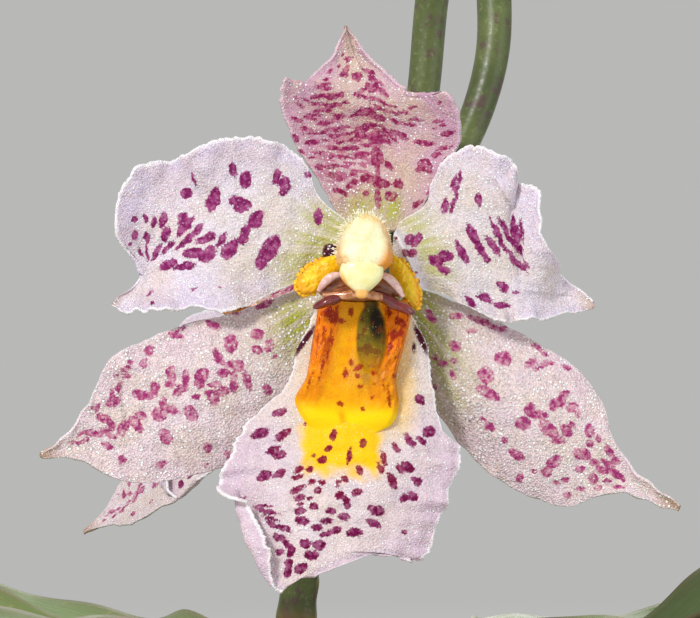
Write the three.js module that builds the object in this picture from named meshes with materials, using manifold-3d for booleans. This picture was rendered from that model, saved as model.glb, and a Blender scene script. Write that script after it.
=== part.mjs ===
// A small epiphytic orchid in a plain clay pot: a creeping rhizome with seven one-leaved growths
// standing in bark, aerial roots, and two spotted flowers on arching stalks.
// Millimetres, +Z up. The origin is the middle of the pot's underside, and the first flower faces -Y.
import * as THREE from "three";
import { mergeVertices } from "three/addons/utils/BufferGeometryUtils.js";
import Module from "manifold-3d";

const wasm = await Module();
wasm.setup();

// ---- Driving dimensions ----
const POT = {
  height: 72,
  baseRadius: 27,
  rimRadius: 41,
  rimHeight: 13,
  rimStep: 2.6,
  wall: 4,
  floor: 5,
  drainHoles: 4,
  drainRadius: 3.6,
  drainRing: 15,
};
const MEDIUM = { top: 61.3, chips: 28, chipSize: [15, 10, 3.4], gap: 0.35, pit: { at: [-1, 1.6], radii: [18.6, 12.2] } };
const GAP = 0.35;
const TEPAL = 0.75;
const LEAF = { length: 66, width: 19, thickness: 1.5 };
const FLOWER_1 = { at: [0, -30, 108], scale: 1 };
// The second flower: its middle, its size, the way it looks, and the way its left lateral sepal points.
const FLOWER_2 = { at: [-8.3, 25, 102.4], scale: 0.85, faces: [-0.62, -0.48, 0.62], sepal: [-1, 0, -1] };

// ---- Materials ----
const material = (color, roughness) => new THREE.MeshStandardMaterial({ color, roughness, metalness: 0 });
const CLAY = material(0xb5714b, 0.9);
const BARK = material(0x6b452c, 0.95);
const STEM = material(0x5c6b35, 0.6);
const GREEN_LEAF = material(0x43602f, 0.45);
const SHEATH = material(0x8a7448, 0.8);
const ROOT = material(0xb9b7a4, 0.85);
const SEPAL = material(0xe9dde0, 0.55);
const LIP_WHITE = material(0xece2e6, 0.55);
const CALLUS = material(0xf2b705, 0.45);
const CREAM = material(0xf1ecb0, 0.5);
const WING = material(0xe9a916, 0.55);
const MAROON = material(0x7a2c1b, 0.3);

// ---- Small helpers ----
const random = (() => {
  let state = 20261;
  return () => {
    state = (state * 16807) % 2147483647;
    return state / 2147483647;
  };
})();
const between = (low, high) => low + (high - low) * random();
const vector = (p) => new THREE.Vector3(...p);
const curve = (points) => new THREE.CatmullRomCurve3(points.map(vector), false, "catmullrom", 0.5);
const smooth = (a, b, x) => THREE.MathUtils.smoothstep(x, a, b);

// A closed geometry as a solid that can be joined and cut.
function solid(geometry) {
  const bare = geometry.clone();
  bare.deleteAttribute("normal");
  bare.deleteAttribute("uv");
  const merged = mergeVertices(bare, 1e-4);
  return new wasm.Manifold(
    new wasm.Mesh({
      numProp: 3,
      vertProperties: merged.attributes.position.array,
      triVerts: new Uint32Array(merged.index.array),
    }),
  );
}

function geometryOf(body) {
  const mesh = body.getMesh();
  const geometry = new THREE.BufferGeometry();
  geometry.setAttribute("position", new THREE.BufferAttribute(mesh.vertProperties, 3));
  geometry.setIndex(new THREE.BufferAttribute(mesh.triVerts, 1));
  return geometry;
}

function add(parent, name, shape, finish) {
  const geometry = shape.isBufferGeometry ? shape : geometryOf(shape);
  const mesh = new THREE.Mesh(geometry, finish);
  mesh.name = name;
  parent.add(mesh);
  return mesh;
}

const union = (bodies) => bodies.reduce((whole, body) => whole.add(body));

// What is left of a body clear of another: only its largest piece is kept.
function clearOf(body, other) {
  const pieces = body.subtract(other).decompose();
  return pieces.reduce((best, piece) => (piece.volume() > best.volume() ? piece : best));
}

// An ellipsoid with given half sizes, turned by degrees about X, Y and Z, then moved to centre.
function ellipsoid(centre, radii, turn = [0, 0, 0], around = 14, rings = 9) {
  const geometry = new THREE.SphereGeometry(1, around, rings);
  geometry.scale(...radii);
  const [x, y, z] = turn.map(THREE.MathUtils.degToRad);
  geometry.applyMatrix4(new THREE.Matrix4().makeRotationFromEuler(new THREE.Euler(x, y, z)));
  geometry.translate(...centre);
  return solid(geometry);
}

// A cone from a point along a direction: a tooth, a hair or a bract tip.
function spike(base, direction, length, radius, sides = 4) {
  const geometry = new THREE.ConeGeometry(radius, length, sides);
  geometry.translate(0, length / 2, 0);
  const turn = new THREE.Quaternion().setFromUnitVectors(new THREE.Vector3(0, 1, 0), direction.clone().normalize());
  geometry.applyQuaternion(turn);
  geometry.translate(base.x, base.y, base.z);
  return solid(geometry);
}

// A closed shell from rings of points: the first and last rings are capped.
function loft(rings) {
  const sides = rings[0].length;
  const points = rings.flat();
  const start = points.length;
  const centre = (ring) => ring.reduce((sum, p) => sum.add(p), new THREE.Vector3()).divideScalar(sides);
  points.push(centre(rings[0]), centre(rings.at(-1)));
  const faces = [];
  for (let i = 0; i < rings.length - 1; i++) {
    for (let j = 0; j < sides; j++) {
      const a = i * sides + j;
      const b = i * sides + ((j + 1) % sides);
      faces.push(a, b, b + sides, a, b + sides, a + sides);
    }
  }
  const last = (rings.length - 1) * sides;
  for (let j = 0; j < sides; j++) {
    const k = (j + 1) % sides;
    faces.push(start, k, j, start + 1, last + j, last + k);
  }
  const geometry = new THREE.BufferGeometry().setFromPoints(points);
  geometry.setIndex(faces);
  return geometry;
}

// A round tube along a smooth curve, with a radius that varies from end to end.
function tube(points, radii, steps, sides = 8, grow = 0) {
  const path = curve(points);
  const frames = path.computeFrenetFrames(steps, false);
  const radius = (t) => {
    const x = t * (radii.length - 1);
    const i = Math.min(Math.floor(x), radii.length - 2);
    return THREE.MathUtils.lerp(radii[i], radii[i + 1], x - i) + grow;
  };
  const rings = [];
  for (let i = 0; i <= steps; i++) {
    const centre = path.getPointAt(i / steps);
    rings.push(
      Array.from({ length: sides }, (_, j) => {
        const angle = (2 * Math.PI * j) / sides;
        return centre
          .clone()
          .addScaledVector(frames.normals[i], Math.cos(angle) * radius(i / steps))
          .addScaledVector(frames.binormals[i], Math.sin(angle) * radius(i / steps));
      }),
    );
  }
  return loft(rings);
}

// ---- Blades: sepals, petals, lips and leaves ----
// A blade is a surface through three long curves: its left margin, its rib and its right margin.
// u runs from base to tip, and v from -1 on the left margin to 1 on the right one.
function surface(blade) {
  const [left, rib, right] = [blade.left, blade.rib, blade.right].map(curve);
  const place = (u, v) => {
    const l = left.getPoint(u);
    const m = rib.getPoint(u);
    const r = right.getPoint(u);
    return l
      .multiplyScalar((v * (v - 1)) / 2)
      .addScaledVector(m, 1 - v * v)
      .addScaledVector(r, (v * (v + 1)) / 2);
  };
  if (!blade.curl) return place;
  const { side, from, full, start, turn, radius } = blade.curl;
  return (u, v) => {
    const out = v * side;
    const first = THREE.MathUtils.lerp(start[0], start[1], smooth(from, 0.85, u));
    const angle = THREE.MathUtils.degToRad(turn) * smooth(from, full, u);
    if (out <= first || angle < 0.01) return place(u, v);
    const root = place(u, first * side);
    const across = place(u, side).sub(root);
    const length = (across.length() * (out - first)) / (1 - first);
    const round = Math.min(length, radius * angle);
    const rest = length - round;
    const bend = round / radius;
    return root
      .addScaledVector(across.normalize(), radius * Math.sin(bend) + rest * Math.cos(bend))
      .add(new THREE.Vector3(0, -radius * (1 - Math.cos(bend)) - rest * Math.sin(bend), 0));
  };
}

// The unit normal of a surface at (u, v). Blades keep u and v a little inside their ends for this.
function normalAt(place, u, v) {
  const step = 0.01;
  const du = place(Math.min(u + step, 1), v).sub(place(Math.max(u - step, 0), v));
  const dv = place(u, Math.min(v + step, 1)).sub(place(u, Math.max(v - step, -1)));
  return dv.cross(du).normalize();
}

// A closed shell round a surface, with the same split into triangles on both faces.
// columns lists the v values of its grid lines, or is their number less one when they are evenly spaced.
function sheet(place, steps, columns, front, back) {
  const even = (count) => Array.from({ length: count + 1 }, (_, j) => (2 * j) / count - 1);
  const lines = Array.isArray(columns) ? columns : even(columns);
  const across = lines.length - 1;
  const points = [];
  for (const offset of [front, back]) {
    for (let i = 0; i <= steps; i++) {
      for (const v of lines) {
        const u = i / steps;
        points.push(place(u, v).addScaledVector(normalAt(place, u, v), offset(u, v)));
      }
    }
  }
  const row = across + 1;
  const layer = (steps + 1) * row;
  const faces = [];
  for (let i = 0; i < steps; i++) {
    for (let j = 0; j < across; j++) {
      const a = i * row + j;
      const [b, c, d] = [a + 1, a + row, a + row + 1];
      faces.push(a, b, d, a, d, c, a + layer, d + layer, b + layer, a + layer, c + layer, d + layer);
    }
  }
  const edge = (a, b) => faces.push(a, b + layer, b, a, a + layer, b + layer);
  for (let j = 0; j < across; j++) {
    edge(j, j + 1);
    edge(steps * row + j + 1, steps * row + j);
  }
  for (let i = 0; i < steps; i++) {
    edge((i + 1) * row, i * row);
    edge(i * row + across, (i + 1) * row + across);
  }
  const geometry = new THREE.BufferGeometry().setFromPoints(points);
  geometry.setIndex(faces);
  return geometry;
}

function blade(shape, steps, columns, thickness) {
  return sheet(
    surface(shape),
    steps,
    columns,
    () => thickness / 2,
    () => -thickness / 2,
  );
}

// ---- The flower, in its own frame ----
// x to the viewer's right, y away from the viewer, z up. The origin is where its parts meet.
const DORSAL_SEPAL = {
  left: [
    [-1.2, 1.7, 2.7], [-3.2, 1.5, 6.1], [-4.9, 1.0, 8.8], [-6.1, 0.2, 11.9],
    [-5.8, -0.6, 14.0], [-4.5, 0.9, 13.7], [-2.4, 1.2, 15.8], [-1.5, 0.9, 17.8],
  ],
  rib: [
    [1.0, 1.7, 2.5], [1.2, 2.5, 5.3], [1.2, 2.9, 8.0], [0.9, 2.6, 10.4],
    [0.5, 1.7, 12.4], [0.0, 1.6, 14.1], [-0.7, 1.8, 15.9], [-1.3, 1.0, 18.0],
  ],
  right: [
    [3.5, 1.7, 2.7], [5.3, 1.8, 5.6], [6.8, 1.4, 8.0], [7.35, 0.4, 10.6],
    [6.3, -0.6, 12.9], [3.9, 0.9, 12.7], [1.2, 1.3, 14.8], [-1.1, 0.9, 17.8],
  ],
};
const PETAL_LEFT = {
  left: [
    [-1.4, 0.2, -0.4], [-3.8, 0.3, -1.0], [-6.2, 0.4, -1.8], [-8.5, 0.0, -3.0], [-10.5, -0.5, -3.5],
    [-12.6, 0.2, -3.1], [-14.8, -0.4, -3.5], [-16.4, 0.2, -3.5], [-17.8, 0.7, -3.4], [-19.0, 1.2, -3.0],
  ],
  rib: [
    [-1.2, 0.3, 1.4], [-3.8, 0.2, 1.9], [-6.6, 0.2, 2.4], [-9.2, 0.4, 2.5], [-11.4, 0.7, 2.3],
    [-13.2, 1.2, 1.7], [-14.9, 2.0, 0.7], [-16.0, 2.6, -0.7], [-17.1, 2.1, -2.0], [-18.8, 1.2, -2.8],
  ],
  right: [
    [-1.1, 0.4, 3.2], [-3.3, 0.6, 5.1], [-4.6, 0.6, 8.1], [-7.6, 0.0, 9.5], [-11.4, -0.6, 9.3],
    [-14.2, 0.5, 7.9], [-17.3, -0.3, 7.0], [-18.6, 0.6, 2.5], [-16.6, 2.5, -0.4], [-18.7, 1.3, -2.6],
  ],
};
const PETAL_RIGHT = {
  left: [
    [2.7, 0.4, 3.2], [4.8, 0.4, 4.7], [5.8, 0.3, 7.6], [8.4, -0.3, 9.0], [11.3, -0.6, 7.6],
    [11.4, 0.8, 6.3], [13.1, -0.5, 5.6], [13.5, -0.7, 2.4], [14.8, 2.2, -0.5], [17.3, 2.2, -2.8],
  ],
  rib: [
    [2.2, 0.3, 0.9], [4.4, 0.1, 1.2], [6.2, -0.1, 1.4], [8.0, -0.1, 1.5], [9.6, 0.1, 1.3],
    [10.9, 0.4, 0.8], [11.9, 0.7, 0.0], [13.0, 0.9, -1.1], [15.1, 2.4, -2.2], [17.5, 2.2, -3.1],
  ],
  right: [
    [2.3, 0.2, -1.2], [5.0, 0.2, -1.9], [6.6, 0.2, -2.4], [8.4, -0.2, -3.4], [9.8, -0.5, -4.0],
    [11.1, -0.2, -4.3], [12.1, -0.7, -4.1], [13.4, -0.2, -4.0], [15.4, 1.4, -3.6], [17.2, 2.2, -3.4],
  ],
};
const LATERAL_LEFT = {
  left: [
    [-1.7, 1.8, -3.2], [-2.9, 2.0, -7.0], [-5.2, 2.2, -11.2], [-8.8, 2.3, -14.5], [-12.3, 2.1, -15.7],
    [-15.8, 1.9, -16.4], [-18.7, 1.8, -16.1], [-21.2, 1.6, -14.6], [-24.1, 1.0, -14.5],
  ],
  rib: [
    [-1.8, 1.7, -2.2], [-4.5, 1.4, -4.6], [-7.7, 1.2, -7.0], [-11.1, 1.3, -9.1], [-14.4, 1.5, -10.7],
    [-17.3, 1.8, -11.9], [-19.7, 2.0, -12.9], [-21.9, 1.8, -13.6], [-24.3, 1.1, -14.3],
  ],
  right: [
    [-1.9, 1.8, -1.2], [-5.0, 1.9, -2.0], [-9.1, 1.9, -3.4], [-13.1, 1.7, -4.4], [-16.5, 1.6, -5.7],
    [-19.1, 1.3, -7.1], [-20.5, 1.3, -9.9], [-22.0, 1.3, -12.4], [-24.1, 1.0, -14.1],
  ],
};
const LATERAL_RIGHT = {
  left: [
    [2.3, 1.8, -1.2], [5.6, 2.2, -2.2], [9.5, 2.3, -3.8], [12.9, 2.2, -5.8], [15.8, 2.0, -7.6],
    [17.9, 1.8, -10.1], [19.1, 1.4, -13.2], [20.9, 1.0, -15.8], [23.7, 0.6, -18.2],
  ],
  rib: [
    [2.4, 1.7, -2.2], [5.2, 1.3, -4.6], [8.1, 0.9, -7.3], [11.1, 0.8, -10.0], [14.0, 1.0, -12.4],
    [16.7, 1.4, -14.2], [18.9, 1.8, -15.6], [21.0, 1.6, -16.8], [23.8, 0.8, -18.3],
  ],
  right: [
    [2.5, 1.8, -3.2], [4.6, 2.0, -6.4], [5.4, 2.3, -10.7], [8.2, 2.4, -14.4], [11.7, 2.3, -17.0],
    [15.2, 2.0, -18.2], [18.2, 1.6, -17.3], [20.9, 1.2, -17.5], [23.7, 0.7, -18.4],
  ],
};
const LIP = {
  left: [
    [3.4, -1.3, -3.4], [4.8, -1.1, -6.2], [5.1, -1.3, -9.0], [5.9, -1.8, -12.4], [7.3, -2.2, -14.0],
    [6.5, -2.4, -16.6], [5.6, -2.5, -19.2], [4.4, -2.7, -22.0], [1.2, -3.3, -21.4], [-3.6, -3.6, -23.2],
  ],
  rib: [
    [0.1, -1.9, -3.2], [0.0, -2.0, -5.6], [-0.1, -2.2, -8.2], [-0.4, -2.6, -10.9], [-0.8, -3.1, -13.6],
    [-1.4, -3.5, -16.2], [-2.2, -3.6, -18.6], [-3.0, -3.6, -20.4], [-3.9, -3.5, -21.9], [-4.9, -3.4, -23.4],
  ],
  right: [
    [-3.4, -1.3, -3.2], [-4.8, -1.2, -6.2], [-5.7, -1.4, -9.0], [-8.7, -1.6, -11.9], [-10.0, -2.0, -14.4],
    [-11.0, -2.2, -17.0], [-10.9, -2.4, -19.4], [-10.2, -3.0, -21.6], [-8.2, -3.4, -23.6], [-6.1, -3.6, -24.4],
  ],
  curl: { side: 1, from: 0.5, full: 0.64, start: [0.8, 0.64], turn: 160, radius: 0.55 },
};
const LIP_LINES = [-1, -0.75, -0.5, -0.25, 0, 0.3, 0.55, 0.66, 0.74, 0.82, 0.91, 1];
const LIP_LINES_COARSE = [-1, -0.6, -0.2, 0.2, 0.58, 0.7, 0.84, 1];
const SPUR = [[0.2, -1.6, -3.6], [0.3, 1.2, -3.6], [0.3, 4.5, -4.0], [0.3, 9.5, -6.2], [0.3, 14.0, -10.5], [0.3, 16.5, -16.0]];
const SPUR_RADII = [1.1, 1.0, 0.85, 0.7, 0.6, 0.35];

// The raised yellow plate on the lip: its two edges from top to bottom, as x and z.
const CALLUS_EDGES = {
  left: [[-3.3, -3.5], [-3.6, -6.0], [-4.1, -8.7], [-4.85, -10.3], [-4.4, -11.9], [-3.1, -12.6]],
  right: [[3.6, -3.7], [3.4, -6.2], [2.95, -8.8], [2.65, -10.6], [1.9, -12.1], [0.6, -12.6]],
};
const CALLUS_RISE = 1.5;

// How far the callus stands off the lip: two keels beside a channel, and two round lobes at the end.
function callusRise(s, c) {
  const edge = Math.abs(c);
  const keels = 0.55 + 0.45 * smooth(0.25, 0.7, edge) - 0.7 * smooth(0.84, 1, edge);
  const channel = 1 - 0.75 * Math.exp(-((c - 0.1) ** 2) / 0.06) * smooth(0.75, 0.1, s);
  const lobes = 1 + 0.5 * Math.exp(-((s - 0.84) ** 2) / 0.012) * smooth(0.05, 0.4, edge);
  return Math.max(0.35, CALLUS_RISE * keels * channel * lobes * (1 - 0.8 * smooth(0.88, 1, s)));
}

// Where on the lip, as u and v, a point with the given x and z lies.
function onLip(lip, x, z) {
  const solve = (value, target, low, high) => {
    for (let k = 0; k < 24; k++) {
      const middle = (low + high) / 2;
      if (value(middle) > target) low = middle;
      else high = middle;
    }
    return (low + high) / 2;
  };
  let v = 0;
  let u = 0;
  for (let k = 0; k < 6; k++) {
    u = solve((t) => lip(t, v).z, z, 0, 1);
    v = solve((t) => lip(u, t).x, x, -1, 1);
  }
  return [u, v];
}

function callus(steps, columns) {
  const lip = surface({ ...LIP, curl: null });
  const edges = ["right", "left"].map((side) => curve(CALLUS_EDGES[side].map(([x, z]) => [x, 0, z])));
  const place = (s, c) => {
    const point = edges[0].getPoint(s).lerp(edges[1].getPoint(s), (c + 1) / 2);
    const [u, v] = onLip(lip, point.x, point.z);
    return lip(u, v);
  };
  const lipFront = TEPAL / 2 + GAP;
  return sheet(
    place,
    steps,
    columns,
    (s, c) => lipFront + callusRise(s, c),
    () => lipFront,
  );
}

// Teeth along an ellipse in the x-z plane, from one angle to another, pointing outwards.
function fringe(centre, radii, from, to, count, length, radius) {
  return Array.from({ length: count }, (_, i) => {
    const angle = THREE.MathUtils.degToRad(from + ((to - from) * i) / (count - 1));
    const out = new THREE.Vector3(Math.cos(angle), 0, Math.sin(angle));
    const base = new THREE.Vector3(centre[0] + radii[0] * out.x, centre[1], centre[2] + radii[1] * out.z);
    const tilt = new THREE.Vector3(out.x, between(-0.5, 0.2), out.z);
    return spike(base, tilt, length * between(0.75, 1.2), radius);
  });
}

const ANTHER = { centre: [0.0, -6.7, -0.5], radii: [1.7, 1.1, 1.75] };
const HOOD = { centre: [0.1, -4.7, 1.5], radii: [1.95, 0.75, 2.35] };
const STIGMA = { centre: [-0.25, -4.1, -1.95], radii: [3.1, 0.7, 0.85] };

function anther(detail, grow = 0) {
  const cap = ellipsoid(ANTHER.centre, ANTHER.radii.map((r) => r + grow), [0, 0, 0], detail.round, detail.round - 4);
  if (grow) return cap;
  const [x, y, z] = ANTHER.centre;
  return cap.add(ellipsoid([x - 0.1, y - 0.1, z - 1.65], [0.5, 0.45, 0.5], [0, 0, 0], 6, 5));
}

function stigma(detail, grow = 0) {
  return union([
    ellipsoid(STIGMA.centre, STIGMA.radii.map((r) => r + grow), [0, 0, 0], detail.round - 1, 5),
    ellipsoid([-2.3, -4.4, -2.45], [1.5 + grow, 0.55 + grow, 0.5 + grow], [0, 22, 0], 7, 5),
    ellipsoid([2.2, -4.4, -2.65], [1.8 + grow, 0.55 + grow, 0.55 + grow], [0, 28, 0], 7, 5),
  ]);
}

function column(detail) {
  const shaft = solid(tube([[0.5, 2.3, 0.8], [0.5, -1.2, 0.8], [0.3, -4.6, 1.0]], [1.0, 1.05, 1.3], 3, 8));
  const foot = ellipsoid([0.3, -0.7, -1.2], [1.25, 0.7, 1.35], [0, 0, 0], 8, 6);
  const hood = ellipsoid(HOOD.centre, HOOD.radii, [0, 0, 0], detail.round, detail.round - 4);
  const rim = fringe(HOOD.centre, HOOD.radii.map((r) => r * 0.93), -35, 215, detail.teeth, 0.95, 0.3);
  return clearOf(union([shaft, foot, hood, ...rim]), anther(detail, GAP).add(stigma(detail, GAP)));
}

// An ear-shaped wing beside the column, with short teeth round its outer edge.
const WING_LEFT = [[-1.25, 0.9], [-3.0, 0.5], [-4.2, -0.2], [-4.9, -1.2], [-4.8, -2.0], [-4.0, -2.2], [-2.8, -1.6], [-1.25, -0.5]];
const WING_RIGHT = [[1.95, 1.5], [2.5, 0.3], [3.1, 0.1], [3.9, -1.2], [4.2, -2.4], [4.0, -3.2], [3.1, -2.6], [2.4, -1.4], [1.95, -0.6]];

function wing(outline, outerFrom, outerTo, teeth) {
  const shape = new THREE.Shape(outline.map(([x, z]) => new THREE.Vector2(x, z)));
  const plate = new THREE.ExtrudeGeometry(shape, {
    depth: 0.7, bevelEnabled: true, bevelThickness: 0.25, bevelSize: 0.2, bevelSegments: 1, steps: 1,
  });
  plate.rotateX(Math.PI / 2);
  plate.translate(0, -2.35, 0);
  const margin = curve(outline.slice(outerFrom, outerTo).map(([x, z]) => [x, -2.7, z]));
  const hairs = Array.from({ length: teeth }, (_, i) => {
    const t = (i + 0.5) / teeth;
    const along = margin.getTangent(t);
    const out = new THREE.Vector3(along.z, between(-0.6, 0.1), -along.x);
    if (out.x * Math.sign(outline[2][0]) < -0.2) out.multiplyScalar(-1);
    return spike(margin.getPoint(t), out, between(0.55, 0.8), 0.24);
  });
  return union([solid(plate), ...hairs]);
}

function flower(prefix, detail) {
  const group = new THREE.Group();
  const tepals = {
    dorsal_sepal: DORSAL_SEPAL,
    petal_left: PETAL_LEFT,
    petal_right: PETAL_RIGHT,
    lateral_sepal_left: LATERAL_LEFT,
    lateral_sepal_right: LATERAL_RIGHT,
  };
  for (const [name, shape] of Object.entries(tepals)) {
    add(group, `${prefix}_${name}`, blade(shape, detail.long, detail.across, TEPAL), SEPAL);
  }
  const spur = solid(tube(SPUR, SPUR_RADII, 8, 6));
  const lip = solid(blade(LIP, detail.lip, detail.lipLines, TEPAL)).add(spur);
  add(group, `${prefix}_lip`, lip, LIP_WHITE);
  add(group, `${prefix}_lip_callus`, callus(detail.callus, detail.across), CALLUS);
  add(group, `${prefix}_column`, column(detail), CREAM);
  add(group, `${prefix}_anther_cap`, anther(detail), CREAM);
  add(group, `${prefix}_stigma`, stigma(detail), MAROON);
  add(group, `${prefix}_column_wing_left`, wing(WING_LEFT, 1, 6, detail.hairs), WING);
  add(group, `${prefix}_column_wing_right`, wing(WING_RIGHT, 1, 6, detail.hairs), WING);
  return group;
}

// ---- Pot and bark ----
function revolve(profile, segments) {
  return solid(
    loft(
      profile.map(([radius, z]) =>
        Array.from({ length: segments }, (_, j) => {
          const angle = (2 * Math.PI * j) / segments;
          return new THREE.Vector3(radius * Math.cos(angle), radius * Math.sin(angle), z);
        }),
      ),
    ),
  );
}

// The pot's outer radius at a height below its rim band.
const bodyRadius = (z) => THREE.MathUtils.lerp(POT.baseRadius, POT.rimRadius - POT.rimStep, z / (POT.height - POT.rimHeight));
const innerRadius = (z) => bodyRadius(z) - POT.wall;

function pot() {
  const { height, rimRadius, rimHeight, baseRadius, floor } = POT;
  const band = height - rimHeight;
  const outside = revolve(
    [
      [baseRadius - 0.8, 0], [baseRadius, 0.8], [bodyRadius(band), band], [rimRadius - 0.7, band + 0.3],
      [rimRadius - 0.1, band + 1.1], [rimRadius, height - 1.4], [rimRadius - 0.6, height - 0.3], [rimRadius - 1.6, height],
    ],
    32,
  );
  const inside = revolve(
    [[innerRadius(floor) - 1, floor], [innerRadius(floor), floor + 1], [innerRadius(band), band], [innerRadius(band) + 0.8, height + 1]],
    32,
  );
  const drains = Array.from({ length: POT.drainHoles }, (_, i) => {
    const hole = new THREE.CylinderGeometry(POT.drainRadius, POT.drainRadius, floor + 4, 10);
    hole.rotateX(Math.PI / 2);
    const angle = ((i + 0.5) * 2 * Math.PI) / POT.drainHoles;
    hole.translate(POT.drainRing * Math.cos(angle), POT.drainRing * Math.sin(angle), floor / 2);
    return solid(hole);
  });
  return outside.subtract(union([inside, ...drains]));
}

// The bark filling as one body: a plug of small pieces with larger chips lying round a clear pit for the plant.
function medium(standing) {
  const { top, chips, chipSize, gap } = MEDIUM;
  const floor = POT.floor;
  const plug = revolve(
    [
      [innerRadius(floor) - 1 - gap, floor], [innerRadius(floor + 1) - gap, floor + 1.4],
      [innerRadius(POT.height - POT.rimHeight) - gap, POT.height - POT.rimHeight], [innerRadius(POT.height - POT.rimHeight) - gap, top],
    ],
    32,
  );
  const limit = innerRadius(top) - gap - 0.3;
  const pieces = Array.from({ length: chips }, (_, i) => {
    const size = chipSize.map((s) => s * between(0.6, 1.15));
    const chip = new THREE.BoxGeometry(...size);
    const taper = chip.attributes.position;
    const skew = between(0.65, 0.95);
    for (let k = 0; k < taper.count; k++) if (taper.getX(k) > 0) taper.setY(k, taper.getY(k) * skew);
    chip.rotateX(between(-0.25, 0.25));
    chip.rotateY(between(-0.22, 0.22));
    chip.rotateZ(between(0, Math.PI));
    const reach = (limit - Math.hypot(size[0], size[1]) / 2 - 0.4) * Math.sqrt((i + 0.5) / chips);
    const angle = i * 2.39996 + between(-0.2, 0.2);
    chip.translate(reach * Math.cos(angle), reach * Math.sin(angle), top + between(-0.6, 0.9));
    return solid(chip);
  });
  const { at, radii } = MEDIUM.pit;
  const pit = new THREE.CylinderGeometry(1, 1, 20, 18);
  pit.rotateX(Math.PI / 2);
  pit.scale(...radii, 1);
  pit.translate(...at, top - 0.05 + 10);
  return clearOf(union([plug, ...pieces]), union([solid(pit), ...standing]));
}

// ---- Rhizome, growths, roots and leaves ----
const RHIZOME = [[-15, 4.5, 63.5], [-7, 2, 63.8], [2, 0.5, 63.8], [11, 0, 63.4]];
const BULB = { radii: [2.1, 3.0, 3.3, 2.9, 1.25], sheath: 7.5 };
// Each growth: where its bulb stands, the way its leaf goes as a rib path, and the leaf's full width.
const GROWTHS = [
  { at: [-13.5, 5.5], rib: [[-14.6, 6.2, 73.2], [-20, 7.8, 74.2], [-29, 9.5, 75.2], [-40, 11, 80], [-52, 11.5, 88], [-62, 11, 97]], width: 20 },
  { at: [-10.5, -2.5], rib: [[-11.6, -3.6, 73.2], [-15, -7, 75.6], [-22, -17, 77], [-31, -29, 78.5], [-40, -41, 77.5], [-47.5, -51.5, 73]], width: 20 },
  { at: [-7.6, 8.4], rib: [[-8.6, 9.8, 73], [-11, 13.6, 73.8], [-18, 23, 73.6], [-27, 33, 73.6], [-37, 42.5, 76.5], [-46, 50.5, 80]], width: 19 },
  { at: [0.5, -5.2], rib: [[1.2, -6.6, 73], [4, -11, 75.6], [10, -21, 77], [18, -32, 77.4], [26.5, -42, 75.2], [33, -50.5, 71]], width: 18 },
  { at: [4, 7.4], rib: [[4.9, 8.9, 73], [7.6, 13, 73.8], [15, 22.5, 73.8], [25, 32, 73.6], [35.5, 40, 75], [45, 46.5, 75.6]], width: 19 },
  { at: [9.5, -3.8], rib: [[11, -4.8, 73], [15.5, -8, 74.6], [25, -13.5, 75.4], [37, -19, 78], [49.5, -23.5, 79.5], [60.5, -27, 78.5]], width: 18 },
  { at: [11.5, 4.5], rib: [[13, 5, 73], [18, 6.6, 74], [27, 8.5, 75.4], [36, 10.2, 82], [43.5, 11.5, 94], [48.5, 12, 107]], width: 19 },
];

function bulb([x, y], lean, grow) {
  const top = [x + lean.x * 0.8, y + lean.y * 0.8, 72.6 + grow];
  const body = solid(tube([[x, y, 61.9 - grow], [x, y, 67], top], BULB.radii, 5, 7, grow));
  const foot = new THREE.Vector3(x - lean.x * 1.5, y - lean.y * 1.5, 62.8);
  const sheath = spike(foot, new THREE.Vector3(-lean.x * 0.3, -lean.y * 0.3, 1), BULB.sheath + grow * 2, 2.7 + grow, 4);
  return body.add(sheath);
}

function growths(grow = 0) {
  const rhizome = solid(tube(RHIZOME, [1.9, 2.2, 2.2, 1.8], 8, 7, grow));
  const bulbs = GROWTHS.map(({ at, rib }) => {
    const lean = new THREE.Vector2(rib[0][0] - at[0], rib[0][1] - at[1]).normalize();
    const link = tube([[at[0] * 0.75, at[1] * 0.2 + 1, 63.6], [at[0], at[1], 64.6]], [1.7, 2.0], 1, 5, grow);
    return bulb(at, lean, grow).add(solid(link));
  });
  return union([rhizome, ...bulbs]);
}

// A leaf folded along its rib: narrow and channelled at the base, widest past the middle, blunt at the tip.
function leaf({ rib, width }) {
  const path = curve(rib);
  const stations = 9;
  const profile = [0.13, 0.3, 0.62, 0.9, 1, 0.98, 0.84, 0.54, 0.1];
  const shape = { left: [], rib: [], right: [] };
  for (let i = 0; i < stations; i++) {
    const t = i / (stations - 1);
    const along = path.getTangentAt(t);
    const middle = path.getPointAt(t);
    const side = new THREE.Vector3(-along.y, along.x, 0).normalize();
    const up = along.clone().cross(side).normalize();
    const half = (width / 2) * profile[i];
    const fold = THREE.MathUtils.degToRad(THREE.MathUtils.lerp(46, 14, smooth(0, 0.6, t)));
    const out = side.clone().multiplyScalar(half * Math.cos(fold));
    const lift = up.clone().multiplyScalar(half * Math.sin(fold));
    shape.left.push(middle.clone().add(out).add(lift).toArray());
    shape.rib.push(middle.toArray());
    shape.right.push(middle.clone().sub(out).add(lift).toArray());
  }
  const half = (u, v) => (LEAF.thickness / 2) * (1 - 0.4 * v * v);
  return sheet(surface(shape), 12, 4, half, (u, v) => -half(u, v));
}

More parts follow.
